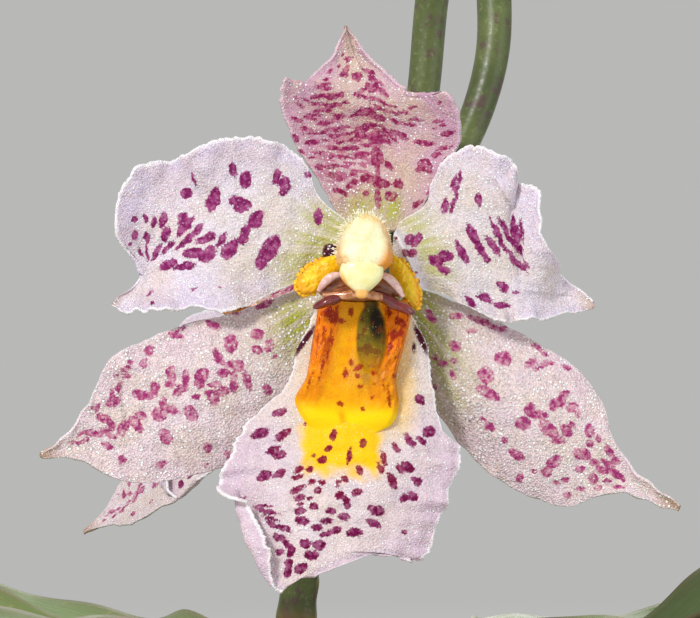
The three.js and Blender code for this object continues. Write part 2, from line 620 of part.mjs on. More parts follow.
// Roots over the bark: each comes up out of it and goes back in, and the last one hangs over the rim.
const ROOTS = [
  { path: [[-13.8, -5.6, 59], [-14.8, -6.6, 64.2], [-18.5, -11, 66.6], [-17.5, -19, 66.5], [-11, -25, 64.5], [-6, -26.5, 59]], radius: 0.95 },
  { path: [[-2.8, -9, 59], [-2.2, -10, 64.2], [1.5, -15, 66.6], [8, -21.5, 66.3], [15.5, -23.5, 63.5], [19.5, -22, 58.5]], radius: 0.9 },
  { path: [[14.8, 0, 59], [16, -0.6, 64.2], [20.5, -3.5, 66.4], [26, -9.5, 66.2], [27.8, -14.5, 63.2], [27.2, -17.5, 58.5]], radius: 0.95 },
  { path: [[9.4, 10.4, 59], [10.2, 11.4, 64.2], [14.5, 15.5, 66.6], [18, 21.5, 66.4], [15.5, 26.5, 63.8], [12, 28, 58.5]], radius: 0.9 },
  { path: [[-12.5, 10.8, 59], [-13.3, 12.6, 64.2], [-15.4, 17, 66.6], [-15, 23, 66.4], [-10, 28, 63.8], [-6, 29.5, 58.5]], radius: 0.9 },
  { path: [[-18.2, 2.6, 59], [-19.2, 2.2, 64.2], [-25, 1, 67.8], [-33, -4, 73.8], [-39, -9, 75.3], [-43.5, -12.5, 71], [-43.9, -14, 60], [-43.4, -13, 47], [-45, -15, 34]], radius: 1.0 },
];

function root({ path, radius }, grow = 0) {
  return solid(tube(path, [radius, radius, radius * 0.95, radius * 0.8], 16, 6, grow));
}

// ---- Flower stalks ----
const STALK_1 = {
  path: [
    [-5.2, -3.6, 60], [-5.6, -4.2, 75], [-4, -4.8, 90], [0, -5, 105], [3.9, -5, 115], [5.0, -5, 122.6], [5.7, -5.2, 130],
    [6.8, -7.5, 136.2], [8.4, -12.5, 138.6], [9.8, -17.6, 135.6], [10.2, -20.2, 129], [10, -21.5, 124.3], [8.7, -22.6, 119.6],
    [6.6, -24, 115.4], [4, -24.8, 111.9], [1.6, -25.4, 109.6], [0.6, -26.8, 108.8],
  ],
  radii: [1.5, 1.5, 1.5, 1.45, 1.35, 1.3, 1.35, 1.4, 1.35, 1.2, 1.1],
  bracts: [0.16, 0.33, 0.47, 0.6],
};
const STALK_2 = {
  path: [
    [-1.8, 6, 60], [-2.8, 9.4, 70], [-5.6, 14, 78], [-5.5, 20.5, 85], [-3.4, 26.6, 91], [-2.8, 30, 95.6], [-4.6, 29.6, 98.8], [-6.5, 27.1, 100.7],
  ],
  radii: [1.3, 1.3, 1.25, 1.2, 1.1, 1.2, 1.1],
  bracts: [0.25, 0.5],
};

function stalk({ path, radii, bracts }, steps, sides, grow = 0) {
  const stem = solid(tube(path, radii, steps, sides, grow));
  if (grow) return stem;
  const line = curve(path);
  const scales = bracts.map((t, i) => {
    const along = line.getTangentAt(t);
    const out = new THREE.Vector3(i % 2 ? 1 : -1, 0.4, 0).cross(along).normalize();
    const base = line.getPointAt(t).addScaledVector(out, 0.7);
    return spike(base, along.clone().addScaledVector(out, 0.28), 5.2, 1.35, 6);
  });
  return union([stem, ...scales]);
}

// ---- The whole plant ----
// Sets a flower in its place. A pose turns the line of the left lateral sepal and the way the flower looks.
function place(group, { at, scale, faces, sepal }) {
  if (faces) {
    const line = new THREE.Vector3(-24.2, 0, -14.3).normalize();
    const front = new THREE.Vector3(0, -1, 0);
    const own = new THREE.Matrix4().makeBasis(line, front, line.clone().cross(front));
    const toFront = vector(faces).normalize();
    const toLine = vector(sepal).addScaledVector(toFront, -vector(sepal).dot(toFront)).normalize();
    const goal = new THREE.Matrix4().makeBasis(toLine, toFront, toLine.clone().cross(toFront));
    group.quaternion.setFromRotationMatrix(goal.multiply(own.transpose()));
  }
  group.scale.setScalar(scale);
  group.position.set(...at);
  return group;
}

const part = new THREE.Group();
part.name = "potted_orchid";

const base = growths();
const baseRoom = growths(GAP);
const stalkRooms = [STALK_1, STALK_2].map((form) => stalk(form, 16, 7, GAP));
const rootRooms = ROOTS.map((form) => root(form, GAP));

add(part, "pot", pot(), CLAY);
add(part, "bark_medium", medium([...stalkRooms, ...rootRooms]), BARK);
add(part, "rhizome_and_pseudobulbs", base, SHEATH);
ROOTS.forEach((form, i) => add(part, `root_${i + 1}`, root(form), ROOT));
GROWTHS.forEach((form, i) => add(part, `leaf_${i + 1}`, clearOf(solid(leaf(form)), baseRoom), GREEN_LEAF));
add(part, "stalk_1", stalk(STALK_1, 30, 8), STEM);
add(part, "stalk_2", stalk(STALK_2, 15, 7), STEM);

part.add(place(flower("flower_1", { long: 11, lip: 14, lipLines: LIP_LINES, across: 8, callus: 11, round: 12, teeth: 15, hairs: 7 }), FLOWER_1));
part.add(place(flower("flower_2", { long: 9, lip: 10, lipLines: LIP_LINES_COARSE, across: 6, callus: 8, round: 9, teeth: 7, hairs: 4 }), FLOWER_2));

export default part;
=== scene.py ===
"""The looks of a small potted orchid: two spotted flowers, leathery leaves, roots, bark and a clay pot.

Everything is built in millimetres from the same curves as the solids, and scaled to metres at the end.
"""

import math
import random

import bmesh
import bpy
import numpy as np
from mathutils import Euler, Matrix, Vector, noise


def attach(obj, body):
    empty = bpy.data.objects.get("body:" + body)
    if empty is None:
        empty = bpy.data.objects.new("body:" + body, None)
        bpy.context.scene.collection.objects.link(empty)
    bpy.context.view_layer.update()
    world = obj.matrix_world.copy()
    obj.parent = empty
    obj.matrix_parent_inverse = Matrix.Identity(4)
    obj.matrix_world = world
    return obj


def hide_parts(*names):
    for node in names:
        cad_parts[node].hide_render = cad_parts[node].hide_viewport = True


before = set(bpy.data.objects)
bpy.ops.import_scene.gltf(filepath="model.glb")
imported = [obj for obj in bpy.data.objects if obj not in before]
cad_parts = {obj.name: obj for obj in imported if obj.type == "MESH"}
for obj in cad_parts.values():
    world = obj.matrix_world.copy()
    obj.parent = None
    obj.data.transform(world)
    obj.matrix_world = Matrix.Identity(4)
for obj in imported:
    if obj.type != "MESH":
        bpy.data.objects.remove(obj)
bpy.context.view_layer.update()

MM = 0.001
# Blender's noise vectors change with the clock unless they get a seed.
noise.seed_set(20261)

# ---- Camera, light and floor ----
CAMERA_AT = (-0.000975, -0.330, 0.1047)
CAMERA_LENS = 205.7
WORLD_COLOUR = (0.48, 0.48, 0.475)
# Each lamp: where it stands and what it looks at in metres, its size in metres, its power and colour.
LAMPS = [
    ((-0.42, -0.70, 0.62), (0, -0.02, 0.09), 0.16, 7.0, (1.0, 0.98, 0.96)),
    ((0.80, -0.45, 0.30), (0, 0, 0.08), 0.6, 1.7, (0.95, 0.97, 1.0)),
    ((0.25, 0.80, 0.60), (0, 0, 0.08), 0.6, 3.2, (1.0, 1.0, 1.0)),
]
FLOOR_RADIUS = 9.0
bpy.context.scene.view_settings.view_transform = "Standard"

# ---- The flower, in its own frame: x to the viewer's right, y away from the viewer, z up ----
VIEW_DISTANCE = 300.0
VIEW_CENTRE = (-0.975, -3.3)
FLOWER_1 = dict(at=(0, -30, 108), scale=1.0)
FLOWER_2 = dict(at=(-8.3, 25, 102.4), scale=0.85, faces=(-0.62, -0.48, 0.62), sepal=(-1, 0, -1))
DORSAL_SEPAL = dict(
    left=[
        (-1.2, 1.7, 2.7), (-3.2, 1.5, 6.1), (-4.9, 1.0, 8.8), (-6.1, 0.2, 11.9), (-5.8, -0.6, 14.0),
        (-4.5, 0.9, 13.7), (-2.4, 1.2, 15.8), (-1.5, 0.9, 17.8),
    ],
    rib=[
        (1.0, 1.7, 2.5), (1.2, 2.5, 5.3), (1.2, 2.9, 8.0), (0.9, 2.6, 10.4), (0.5, 1.7, 12.4), (0.0, 1.6, 14.1),
        (-0.7, 1.8, 15.9), (-1.3, 1.0, 18.0),
    ],
    right=[
        (3.5, 1.7, 2.7), (5.3, 1.8, 5.6), (6.8, 1.4, 8.0), (7.35, 0.4, 10.6), (6.3, -0.6, 12.9), (3.9, 0.9, 12.7),
        (1.2, 1.3, 14.8), (-1.1, 0.9, 17.8),
    ],
)
PETAL_LEFT = dict(
    left=[
        (-1.4, 0.2, -0.4), (-3.8, 0.3, -1.0), (-6.2, 0.4, -1.8), (-8.5, 0.0, -3.0), (-10.5, -0.5, -3.5),
        (-12.6, 0.2, -3.1), (-14.8, -0.4, -3.5), (-16.4, 0.2, -3.5), (-17.8, 0.7, -3.4), (-19.0, 1.2, -3.0),
    ],
    rib=[
        (-1.2, 0.3, 1.4), (-3.8, 0.2, 1.9), (-6.6, 0.2, 2.4), (-9.2, 0.4, 2.5), (-11.4, 0.7, 2.3), (-13.2, 1.2, 1.7),
        (-14.9, 2.0, 0.7), (-16.0, 2.6, -0.7), (-17.1, 2.1, -2.0), (-18.8, 1.2, -2.8),
    ],
    right=[
        (-1.1, 0.4, 3.2), (-3.3, 0.6, 5.1), (-4.6, 0.6, 8.1), (-7.6, 0.0, 9.5), (-11.4, -0.6, 9.3), (-14.2, 0.5, 7.9),
        (-17.3, -0.3, 7.0), (-18.6, 0.6, 2.5), (-16.6, 2.5, -0.4), (-18.7, 1.3, -2.6),
    ],
)
PETAL_RIGHT = dict(
    left=[
        (2.7, 0.4, 3.2), (4.8, 0.4, 4.7), (5.8, 0.3, 7.6), (8.4, -0.3, 9.0), (11.3, -0.6, 7.6), (11.4, 0.8, 6.3),
        (13.1, -0.5, 5.6), (13.5, -0.7, 2.4), (14.8, 2.2, -0.5), (17.3, 2.2, -2.8),
    ],
    rib=[
        (2.2, 0.3, 0.9), (4.4, 0.1, 1.2), (6.2, -0.1, 1.4), (8.0, -0.1, 1.5), (9.6, 0.1, 1.3), (10.9, 0.4, 0.8),
        (11.9, 0.7, 0.0), (13.0, 0.9, -1.1), (15.1, 2.4, -2.2), (17.5, 2.2, -3.1),
    ],
    right=[
        (2.3, 0.2, -1.2), (5.0, 0.2, -1.9), (6.6, 0.2, -2.4), (8.4, -0.2, -3.4), (9.8, -0.5, -4.0),
        (11.1, -0.2, -4.3), (12.1, -0.7, -4.1), (13.4, -0.2, -4.0), (15.4, 1.4, -3.6), (17.2, 2.2, -3.4),
    ],
)
LATERAL_LEFT = dict(
    left=[
        (-1.7, 1.8, -3.2), (-2.9, 2.0, -7.0), (-5.2, 2.2, -11.2), (-8.8, 2.3, -14.5), (-12.3, 2.1, -15.7),
        (-15.8, 1.9, -16.4), (-18.7, 1.8, -16.1), (-21.2, 1.6, -14.6), (-24.1, 1.0, -14.5),
    ],
    rib=[
        (-1.8, 1.7, -2.2), (-4.5, 1.4, -4.6), (-7.7, 1.2, -7.0), (-11.1, 1.3, -9.1), (-14.4, 1.5, -10.7),
        (-17.3, 1.8, -11.9), (-19.7, 2.0, -12.9), (-21.9, 1.8, -13.6), (-24.3, 1.1, -14.3),
    ],
    right=[
        (-1.9, 1.8, -1.2), (-5.0, 1.9, -2.0), (-9.1, 1.9, -3.4), (-13.1, 1.7, -4.4), (-16.5, 1.6, -5.7),
        (-19.1, 1.3, -7.1), (-20.5, 1.3, -9.9), (-22.0, 1.3, -12.4), (-24.1, 1.0, -14.1),
    ],
)
LATERAL_RIGHT = dict(
    left=[
        (2.3, 1.8, -1.2), (5.6, 2.2, -2.2), (9.5, 2.3, -3.8), (12.9, 2.2, -5.8), (15.8, 2.0, -7.6),
        (17.9, 1.8, -10.1), (19.1, 1.4, -13.2), (20.9, 1.0, -15.8), (23.7, 0.6, -18.2),
    ],
    rib=[
        (2.4, 1.7, -2.2), (5.2, 1.3, -4.6), (8.1, 0.9, -7.3), (11.1, 0.8, -10.0), (14.0, 1.0, -12.4),
        (16.7, 1.4, -14.2), (18.9, 1.8, -15.6), (21.0, 1.6, -16.8), (23.8, 0.8, -18.3),
    ],
    right=[
        (2.5, 1.8, -3.2), (4.6, 2.0, -6.4), (5.4, 2.3, -10.7), (8.2, 2.4, -14.4), (11.7, 2.3, -17.0),
        (15.2, 2.0, -18.2), (18.2, 1.6, -17.3), (20.9, 1.2, -17.5), (23.7, 0.7, -18.4),
    ],
)
LIP = dict(
    left=[
        (3.4, -1.3, -3.4), (4.8, -1.1, -6.2), (5.1, -1.3, -9.0), (5.9, -1.8, -12.4), (7.3, -2.2, -14.0),
        (6.5, -2.4, -16.6), (5.6, -2.5, -19.2), (4.4, -2.7, -22.0), (1.2, -3.3, -21.4), (-3.6, -3.6, -23.2),
    ],
    rib=[
        (0.1, -1.9, -3.2), (0.0, -2.0, -5.6), (-0.1, -2.2, -8.2), (-0.4, -2.6, -10.9), (-0.8, -3.1, -13.6),
        (-1.4, -3.5, -16.2), (-2.2, -3.6, -18.6), (-3.0, -3.6, -20.4), (-3.9, -3.5, -21.9), (-4.9, -3.4, -23.4),
    ],
    right=[
        (-3.4, -1.3, -3.2), (-4.8, -1.2, -6.2), (-5.7, -1.4, -9.0), (-8.7, -1.6, -11.9), (-10.0, -2.0, -14.4),
        (-11.0, -2.2, -17.0), (-10.9, -2.4, -19.4), (-10.2, -3.0, -21.6), (-8.2, -3.4, -23.6), (-6.1, -3.6, -24.4),
    ],
    curl={"side": 1, "from": 0.53, "full": 0.62, "start": (0.8, 0.64), "turn": 160, "radius": 0.55},
)
SPUR = [
    (0.2, -1.6, -3.6), (0.3, 1.2, -3.6), (0.3, 4.5, -4.0), (0.3, 9.5, -6.2), (0.3, 14.0, -10.5), (0.3, 16.5, -16.0),
]
SPUR_RADII = [1.1, 1.0, 0.85, 0.7, 0.6, 0.35]
CALLUS_EDGES = dict(
    left=[(-3.1, -2.75), (-3.3, -4.1), (-3.65, -6.0), (-4.1, -8.5), (-4.95, -10.2), (-4.3, -11.7), (-3.1, -12.6)],
    right=[(3.5, -2.75), (3.3, -4.2), (2.9, -6.1), (2.35, -8.5), (2.55, -10.5), (2.1, -11.9), (0.6, -12.6)],
)

# The spots, as drawn: for each, its middle as x and z, half its length and width in mm, and its turn in degrees.
SPOTS = {
    "petal_left": [
        (-13.43, 2.83, 0.75, 0.27, 62),
        (-9.78, 7.23, 0.6, 0.26, 105), (-8.82, 6.37, 0.66, 0.45, 80), (-6.48, 6.63, 0.57, 0.3, 80),
        (-5.91, 5.88, 0.69, 0.41, 80), (-12.57, 6.57, 0.5, 0.22, 110), (-13.17, 5.43, 0.42, 0.36, 0),
        (-11.18, 4.96, 0.96, 0.45, 75), (-9.5, 4.84, 0.54, 0.36, 0), (-8.99, 4.42, 0.66, 0.48, 20),
        (-8.01, 3.4, 0.74, 0.5, 60), (-8.78, 2.5, 0.54, 0.36, 60), (-8.99, 1.91, 0.38, 0.38, 0),
        (-7.03, 1.13, 1.2, 0.6, 58), (-7.65, 0.11, 0.48, 0.41, 20), (-9.98, 1.07, 0.72, 0.5, 45),
        (-9.56, 1.61, 0.36, 0.24, 60), (-3.37, 3.6, 0.62, 0.29, 88), (-4.08, 6.75, 0.26, 0.19, 0),
        (-13.45, 3.52, 0.54, 0.3, 60), (-13.03, 3.1, 0.66, 0.26, 50), (-13.39, 2.62, 0.54, 0.14, 50),
        (-12.67, 2.33, 0.96, 0.22, 45), (-13.21, 1.79, 0.84, 0.24, 40), (-11.71, 1.97, 0.78, 0.3, 25),
        (-10.58, 1.85, 0.6, 0.22, 55), (-12.55, 0.89, 0.84, 0.38, 5), (-11.59, 0.59, 0.6, 0.33, 30),
        (-11.35, 1.13, 0.36, 0.24, 0), (-14.46, -0.01, 0.66, 0.36, 30), (-13.27, -0.13, 0.74, 0.3, 15),
        (-14.97, 3.46, 0.62, 0.29, 80), (-14.73, 2.33, 0.6, 0.33, 70), (-14.56, 1.31, 0.6, 0.19, 50),
        (-15.42, 1.01, 0.6, 0.19, 60), (-16.32, 3.58, 0.33, 0.17, 100), (-15.66, 3.22, 0.33, 0.22, 90),
        (-17.25, 3.46, 0.24, 0.19, 0), (-17.18, 2.27, 0.36, 0.24, 90), (-16.23, 2.15, 0.45, 0.24, 95),
        (-16.2, 0.83, 0.54, 0.12, 95), (-16.68, 0.95, 0.36, 0.1, 120), (-17.57, 1.61, 0.14, 0.14, 0),
        (-12.55, -1.86, 0.24, 0.1, 25), (-15.96, -2.28, 0.24, 0.11, 20), (-10.7, -1.74, 0.08, 0.07, 0),
        (-15.78, -3, 0.11, 0.1, 0),
    ],
    "dorsal_sepal": [
        (-1.62, 15.75, 0.18, 0.13, 0), (-1.14, 15.4, 0.28, 0.15, 20), (-2.52, 14.5, 0.21, 0.13, 30),
        (-1.83, 14.89, 0.15, 0.13, 0), (-1.29, 14.69, 0.36, 0.21, 60), (-1.49, 14.18, 0.28, 0.15, 0),
        (-0.45, 14.05, 0.34, 0.26, 0), (0.26, 14.5, 0.39, 0.13, -20), (0.65, 14.37, 0.26, 0.15, -30),
        (-2.78, 13.83, 0.28, 0.13, 25), (-3.1, 13.4, 0.46, 0.1, 10), (0.77, 13.85, 0.39, 0.21, -40),
        (1.42, 13.53, 0.28, 0.1, -50), (-2.84, 13.17, 0.39, 0.1, 10), (0.65, 13.34, 0.58, 0.36, -10),
        (1.55, 12.95, 0.39, 0.18, -40), (-0.26, 12.95, 0.39, 0.13, 20), (-1.68, 12.82, 0.23, 0.18, 30),
        (-3.36, 12.72, 0.52, 0.12, 8), (-2.39, 12.69, 0.58, 0.19, 5), (-5.04, 12.6, 0.18, 0.08, -40),
        (-4.33, 12.43, 0.32, 0.08, -10), (0.39, 12.6, 0.77, 0.13, -5), (1.29, 12.37, 0.65, 0.12, -25),
        (2.32, 12.05, 0.26, 0.06, -20), (-3.23, 12.2, 0.77, 0.14, 0), (-2, 12.11, 0.77, 0.15, 15),
        (-4.78, 12.02, 0.28, 0.1, -35), (1.29, 11.88, 0.67, 0.1, -25), (2.39, 11.53, 0.41, 0.1, -20),
        (3.74, 11.89, 0.34, 0.1, 10), (3.1, 11.57, 0.36, 0.1, -10), (-3.1, 11.66, 0.67, 0.14, 5),
        (-3.68, 11.27, 0.49, 0.15, 0), (-1.94, 11.21, 0.41, 0.13, 20), (-0.65, 11.4, 0.36, 0.1, 35),
        (0.26, 11.66, 0.8, 0.28, 5), (0.97, 11.34, 0.77, 0.23, -28), (3.94, 11.06, 0.41, 0.09, 0),
        (2.39, 10.91, 0.41, 0.1, -25), (3.1, 10.72, 0.54, 0.12, -12), (3.77, 10.6, 0.34, 0.13, -10),
        (-5.04, 10.85, 0.36, 0.14, -25), (-4.07, 11.01, 0.39, 0.1, -10), (-2.95, 10.66, 0.54, 0.17, 5),
        (-4.33, 10.2, 0.41, 0.18, -15), (-3.1, 9.98, 1.1, 0.1, 8), (-1.87, 10.3, 0.8, 0.15, 12),
        (-0.13, 10.21, 0.77, 0.28, 25), (0.77, 10.59, 0.41, 0.17, 0), (1.94, 9.98, 0.85, 0.15, -45),
        (2.78, 9.85, 0.75, 0.21, -33), (6.39, 9.92, 0.49, 0.19, 15), (-2.45, 9.75, 0.34, 0.09, 0),
        (-1.49, 9.79, 0.65, 0.1, 15), (-0.26, 9.72, 0.52, 0.21, 0), (1.06, 9.59, 0.72, 0.54, 0),
        (1.91, 9.33, 0.34, 0.23, -50), (-5.1, 9.49, 0.36, 0.21, -45), (-3.88, 9.18, 0.52, 0.21, 5),
        (-2.97, 9.31, 0.26, 0.08, 0), (-1.81, 9.23, 0.36, 0.1, 0), (-0.78, 9.31, 0.39, 0.1, 0),
        (4.71, 9.18, 0.72, 0.19, -5), (6.2, 8.82, 0.54, 0.15, 10), (-2.26, 8.79, 0.46, 0.19, 0),
        (-1.4, 8.75, 0.46, 0.17, 0), (-0.62, 8.79, 0.39, 0.23, 0), (0.26, 9.01, 0.28, 0.13, 0),
        (-4.65, 8.49, 0.21, 0.13, -40), (5.62, 8.26, 0.34, 0.19, 0), (6.33, 7.89, 0.28, 0.12, 30),
        (-3.68, 8.46, 0.18, 0.09, 0), (-3.2, 8.46, 0.15, 0.08, 0), (-2.45, 8.08, 0.21, 0.14, 0),
        (-1.81, 8.04, 0.18, 0.12, 0), (-1.27, 8.04, 0.23, 0.14, 0), (-0.48, 8.15, 0.26, 0.18, 0),
        (0.06, 8.33, 0.34, 0.18, 0), (-3.94, 8.04, 0.21, 0.09, 0), (-3.29, 7.31, 0.41, 0.17, 0),
        (-2.17, 7.37, 0.46, 0.14, 8), (4.71, 7.46, 0.57, 0.54, 0), (4.24, 7.11, 0.31, 0.18, 0),
        (5.04, 6.94, 0.21, 0.13, 0), (-2.26, 6.65, 0.49, 0.17, -10), (-1.81, 6.43, 0.23, 0.15, 0),
        (-0.78, 6.88, 0.28, 0.23, 0), (0.26, 6.43, 0.54, 0.36, 0), (-0.78, 6.17, 0.31, 0.21, 0),
        (-1.16, 5.82, 0.26, 0.17, 0), (1.03, 8.04, 0.52, 0.75, 0), (1.06, 6.75, 0.21, 1.03, 0),
        (1.42, 6.04, 0.65, 0.34, 0), (2.65, 6.04, 0.44, 0.34, -20), (2.13, 5.1, 0.46, 0.35, 0),
        (0.19, 5.3, 0.28, 0.23, 0), (1.06, 5.01, 0.23, 0.77, 0), (1.94, 7.42, 0.54, 0.23, -50),
        (-1.68, 5.39, 0.54, 0.14, -20), (4.13, 4.56, 0.44, 0.17, 40), (5.1, 5.46, 0.23, 0.14, 50),
        (5.81, 12.2, 0.14, 0.09, 50), (5.75, 10.85, 0.34, 0.12, 12), (6.01, 10.52, 0.18, 0.09, 0),
        (5.46, 10.26, 0.12, 0.05, 0),
    ],
    "petal_right": [
        (7.31, 6.54, 0.45, 0.17, 80), (6.84, 6.17, 0.56, 0.15, 75), (7.03, 5.42, 0.78, 0.17, 80),
        (6.79, 4.53, 0.6, 0.15, 80), (6.19, 4.43, 0.52, 0.24, 80), (8.65, 4.85, 0.52, 0.21, 95),
        (4.04, 1.86, 0.56, 0.3, 55), (3.71, 0.89, 0.32, 0.28, 0), (6.23, 0.67, 0.52, 0.43, 0),
        (5.52, 0.29, 0.6, 0.37, -35), (6.13, -0.36, 0.45, 0.28, -20), (7.38, 0.95, 0.9, 0.3, -60),
        (8.19, 2.29, 0.82, 0.3, -62), (8.75, 1.17, 0.78, 0.28, -62), (9.21, 0.46, 0.34, 0.22, -50),
        (9.68, 1.45, 0.82, 0.26, -55), (9.86, 2.76, 0.75, 0.15, -65), (10.2, 1.82, 0.84, 0.15, -60),
        (10.39, 2.94, 0.63, 0.17, -62), (10.83, 2.07, 0.78, 0.17, -60), (11.39, 2.38, 1.04, 0.41, -78),
        (11.21, 3.32, 0.41, 0.15, 85), (11.88, 2.62, 0.67, 0.13, 88), (12.16, 2.07, 0.45, 0.09, 95),
        (11.77, 1.13, 1.08, 0.26, -50), (12.14, 0.42, 0.6, 0.24, -68), (10.98, 0.74, 0.56, 0.13, -45),
        (11.54, 0.05, 0.78, 0.28, -40), (10.46, -1.67, 0.49, 0.32, -35), (11.39, -2.13, 0.26, 0.13, -15),
        (9.08, -2.47, 0.52, 0.26, -25), (8.09, -2.75, 0.5, 0.21, -48), (10.37, -3.08, 0.62, 0.21, -5),
        (4.04, -0.47, 0.13, 0.11, 0),
    ],
    "lateral_sepal_right": [
        (5.07, -3.9, 0.45, 0.19, -60), (6.97, -3.9, 0.41, 0.17, 10), (8.65, -4.24, 0.67, 0.17, -15),
        (8.09, -5.02, 0.26, 0.11, 0), (9.72, -4.71, 0.22, 0.11, 0), (10.37, -4.89, 0.3, 0.17, 20),
        (6.92, -6.07, 0.41, 0.28, -40), (10.46, -7.08, 0.52, 0.49, 0), (13.04, -6.2, 0.3, 0.15, -30),
        (13.63, -6.76, 0.15, 0.11, 0), (14.16, -7.41, 0.13, 0.09, 0), (12.48, -7.41, 0.37, 0.24, 40),
        (12.94, -7.88, 0.15, 0.11, 0), (13.47, -7.51, 0.37, 0.22, 20), (15.24, -7.73, 0.22, 0.11, -20),
        (9.21, -8.25, 0.56, 0.49, -60), (9.4, -9.56, 0.78, 0.32, -25), (6.04, -7.32, 0.26, 0.17, 0),
        (6.79, -7.13, 0.19, 0.15, 0), (6.79, -8.16, 0.22, 0.13, 90), (5.48, -9.09, 0.15, 0.15, 0),
        (5.48, -6.85, 0.15, 0.15, 0), (14.53, -10.34, 0.6, 0.37, 35), (15.05, -9.76, 0.32, 0.19, 30),
        (15.61, -10.73, 0.34, 0.3, 0), (16.08, -11.24, 0.19, 0.15, 0), (12.53, -10.86, 0.41, 0.45, 0),
        (13.22, -11.24, 0.45, 0.26, 0), (12.05, -11.85, 0.49, 0.41, 0), (13.89, -12.32, 0.75, 0.37, -45),
        (14.62, -13.1, 0.45, 0.24, 0), (15.22, -12.39, 0.45, 0.28, -45), (15.65, -11.98, 0.19, 0.15, 0),
        (16.9, -12.45, 0.32, 0.41, 0), (17.57, -12.97, 0.19, 0.19, 0), (16.92, -13.38, 0.21, 0.19, 0),
        (9.58, -12.08, 0.26, 0.22, 0), (9.03, -11.52, 0.15, 0.15, 0), (18.41, -13.9, 0.45, 0.24, -50),
        (16.39, -14.13, 0.56, 0.35, -20), (11.54, -14.18, 0.56, 0.3, -40), (10.7, -13.1, 0.19, 0.17, 0),
        (14.34, -14.69, 0.52, 0.32, 30), (17.33, -14.78, 0.34, 0.22, 0), (18.3, -14.84, 0.37, 0.19, -30),
        (19.01, -14.65, 0.34, 0.21, 0), (13.78, -15.53, 0.34, 0.32, 0), (16.21, -15.29, 0.3, 0.15, 0),
        (17.92, -15.36, 0.49, 0.21, -20), (18.86, -15.58, 0.45, 0.22, -30), (19.38, -15.85, 0.3, 0.15, -60),
        (17.23, -15.96, 0.34, 0.37, 0), (15.09, -16.09, 0.19, 0.11, 0), (14.44, -16.27, 0.15, 0.11, 0),
        (18.3, -16.22, 0.21, 0.15, 0), (17.61, -16.74, 0.24, 0.15, 0), (16.3, -16.74, 0.24, 0.15, 0),
        (15.31, -17.21, 0.19, 0.15, 0), (11.82, -15.9, 0.22, 0.26, 0), (19.19, -16.74, 0.24, 0.09, 0),
        (12.85, -15.43, 0.15, 0.15, 0),
    ],
    "lateral_sepal_left": [
        (-7.4, -2.99, 0.57, 0.23, 20), (-9.84, -3.64, 0.37, 0.1, 0), (-11.23, -4.57, 0.43, 0.2, -20),
        (-14.04, -5.31, 0.46, 0.2, -10), (-13.81, -4.83, 0.26, 0.07, 10), (-7.9, -5.21, 0.43, 0.34, 0),
        (-7.93, -6.36, 0.32, 0.29, 0), (-7.04, -6.08, 0.37, 0.32, 90), (-6.72, -6.84, 0.09, 0.07, 0),
        (-9.91, -5.93, 0.6, 0.43, 85), (-10.84, -6.89, 0.52, 0.27, -62), (-9.65, -7.44, 0.6, 0.32, 0),
        (-9.31, -7.7, 0.29, 0.26, 0), (-10.51, -8.06, 0.32, 0.27, 0), (-16.04, -6.43, 0.37, 0.27, 60),
        (-16.47, -7.4, 0.26, 0.26, 0), (-17.44, -7.29, 0.16, 0.13, 0), (-17.8, -7.75, 0.24, 0.11, 10),
        (-18.55, -8.26, 0.09, 0.07, 0), (-18.04, -8.34, 0.13, 0.1, 0), (-17.63, -8.3, 0.19, 0.14, -60),
        (-14.36, -8.16, 0.55, 0.32, 95), (-14.43, -8.9, 0.34, 0.26, 0), (-13.28, -8.44, 0.46, 0.26, 95),
        (-13.5, -9.19, 0.37, 0.24, 0), (-12.09, -8.27, 0.55, 0.4, 60), (-12.23, -8.9, 0.34, 0.22, 0),
        (-9.65, -8.73, 0.6, 0.22, 92), (-8.66, -8.66, 0.6, 0.27, -72), (-18.23, -9.09, 0.4, 0.22, 60),
        (-15.58, -9.16, 0.37, 0.3, 90), (-16.58, -9.73, 0.6, 0.34, -20), (-15.91, -9.69, 0.37, 0.23, 0),
        (-13.96, -9.59, 0.26, 0.24, 0), (-11.06, -8.94, 0.32, 0.19, 0), (-10.48, -9.45, 0.46, 0.29, 20),
        (-11.2, -9.95, 0.49, 0.37, 90), (-12.49, -9.88, 0.2, 0.16, 0), (-11.63, -9.56, 0.2, 0.14, 0),
        (-18.81, -9.76, 0.34, 0.14, 95), (-18.73, -10.24, 0.49, 0.26, 20), (-19.95, -10.71, 0.22, 0.11, 70),
        (-20.31, -10.67, 0.07, 0.07, 0), (-14.93, -10.31, 0.29, 0.22, 90),
        (-14.39, -10.81, 0.57, 0.23, -20), (-15.29, -11.17, 0.49, 0.37, -50),
        (-12.89, -11.1, 0.55, 0.37, -48), (-19.45, -11.43, 0.46, 0.2, -20),
        (-18.88, -11.89, 0.37, 0.2, -60), (-16.65, -11.24, 0.34, 0.26, 0), (-17.16, -11.67, 0.34, 0.29, 0),
        (-16.8, -12.17, 0.37, 0.27, -50), (-17.94, -12.17, 0.52, 0.32, 62), (-20.24, -12.6, 0.6, 0.19, -5),
        (-19.31, -12.39, 0.26, 0.1, 0), (-18.88, -12.78, 0.29, 0.13, -20), (-20.96, -12.53, 0.4, 0.13, 25),
        (-21.67, -13.25, 0.23, 0.11, 0), (-20.96, -13.18, 0.26, 0.1, 20), (-14.76, -12.86, 0.55, 0.37, -50),
        (-19.12, -13.54, 0.36, 0.19, -20), (-11.63, -13.68, 0.32, 0.2, 90), (-18.06, -14.58, 0.3, 0.27, 0),
        (-15.1, -14.9, 0.32, 0.19, 45), (-11.75, -14.97, 0.13, 0.09, 60), (-10.12, -14.18, 0.23, 0.2, 0),
        (-7.18, -9.3, 0.37, 0.23, -50),
    ],
    "lip": [
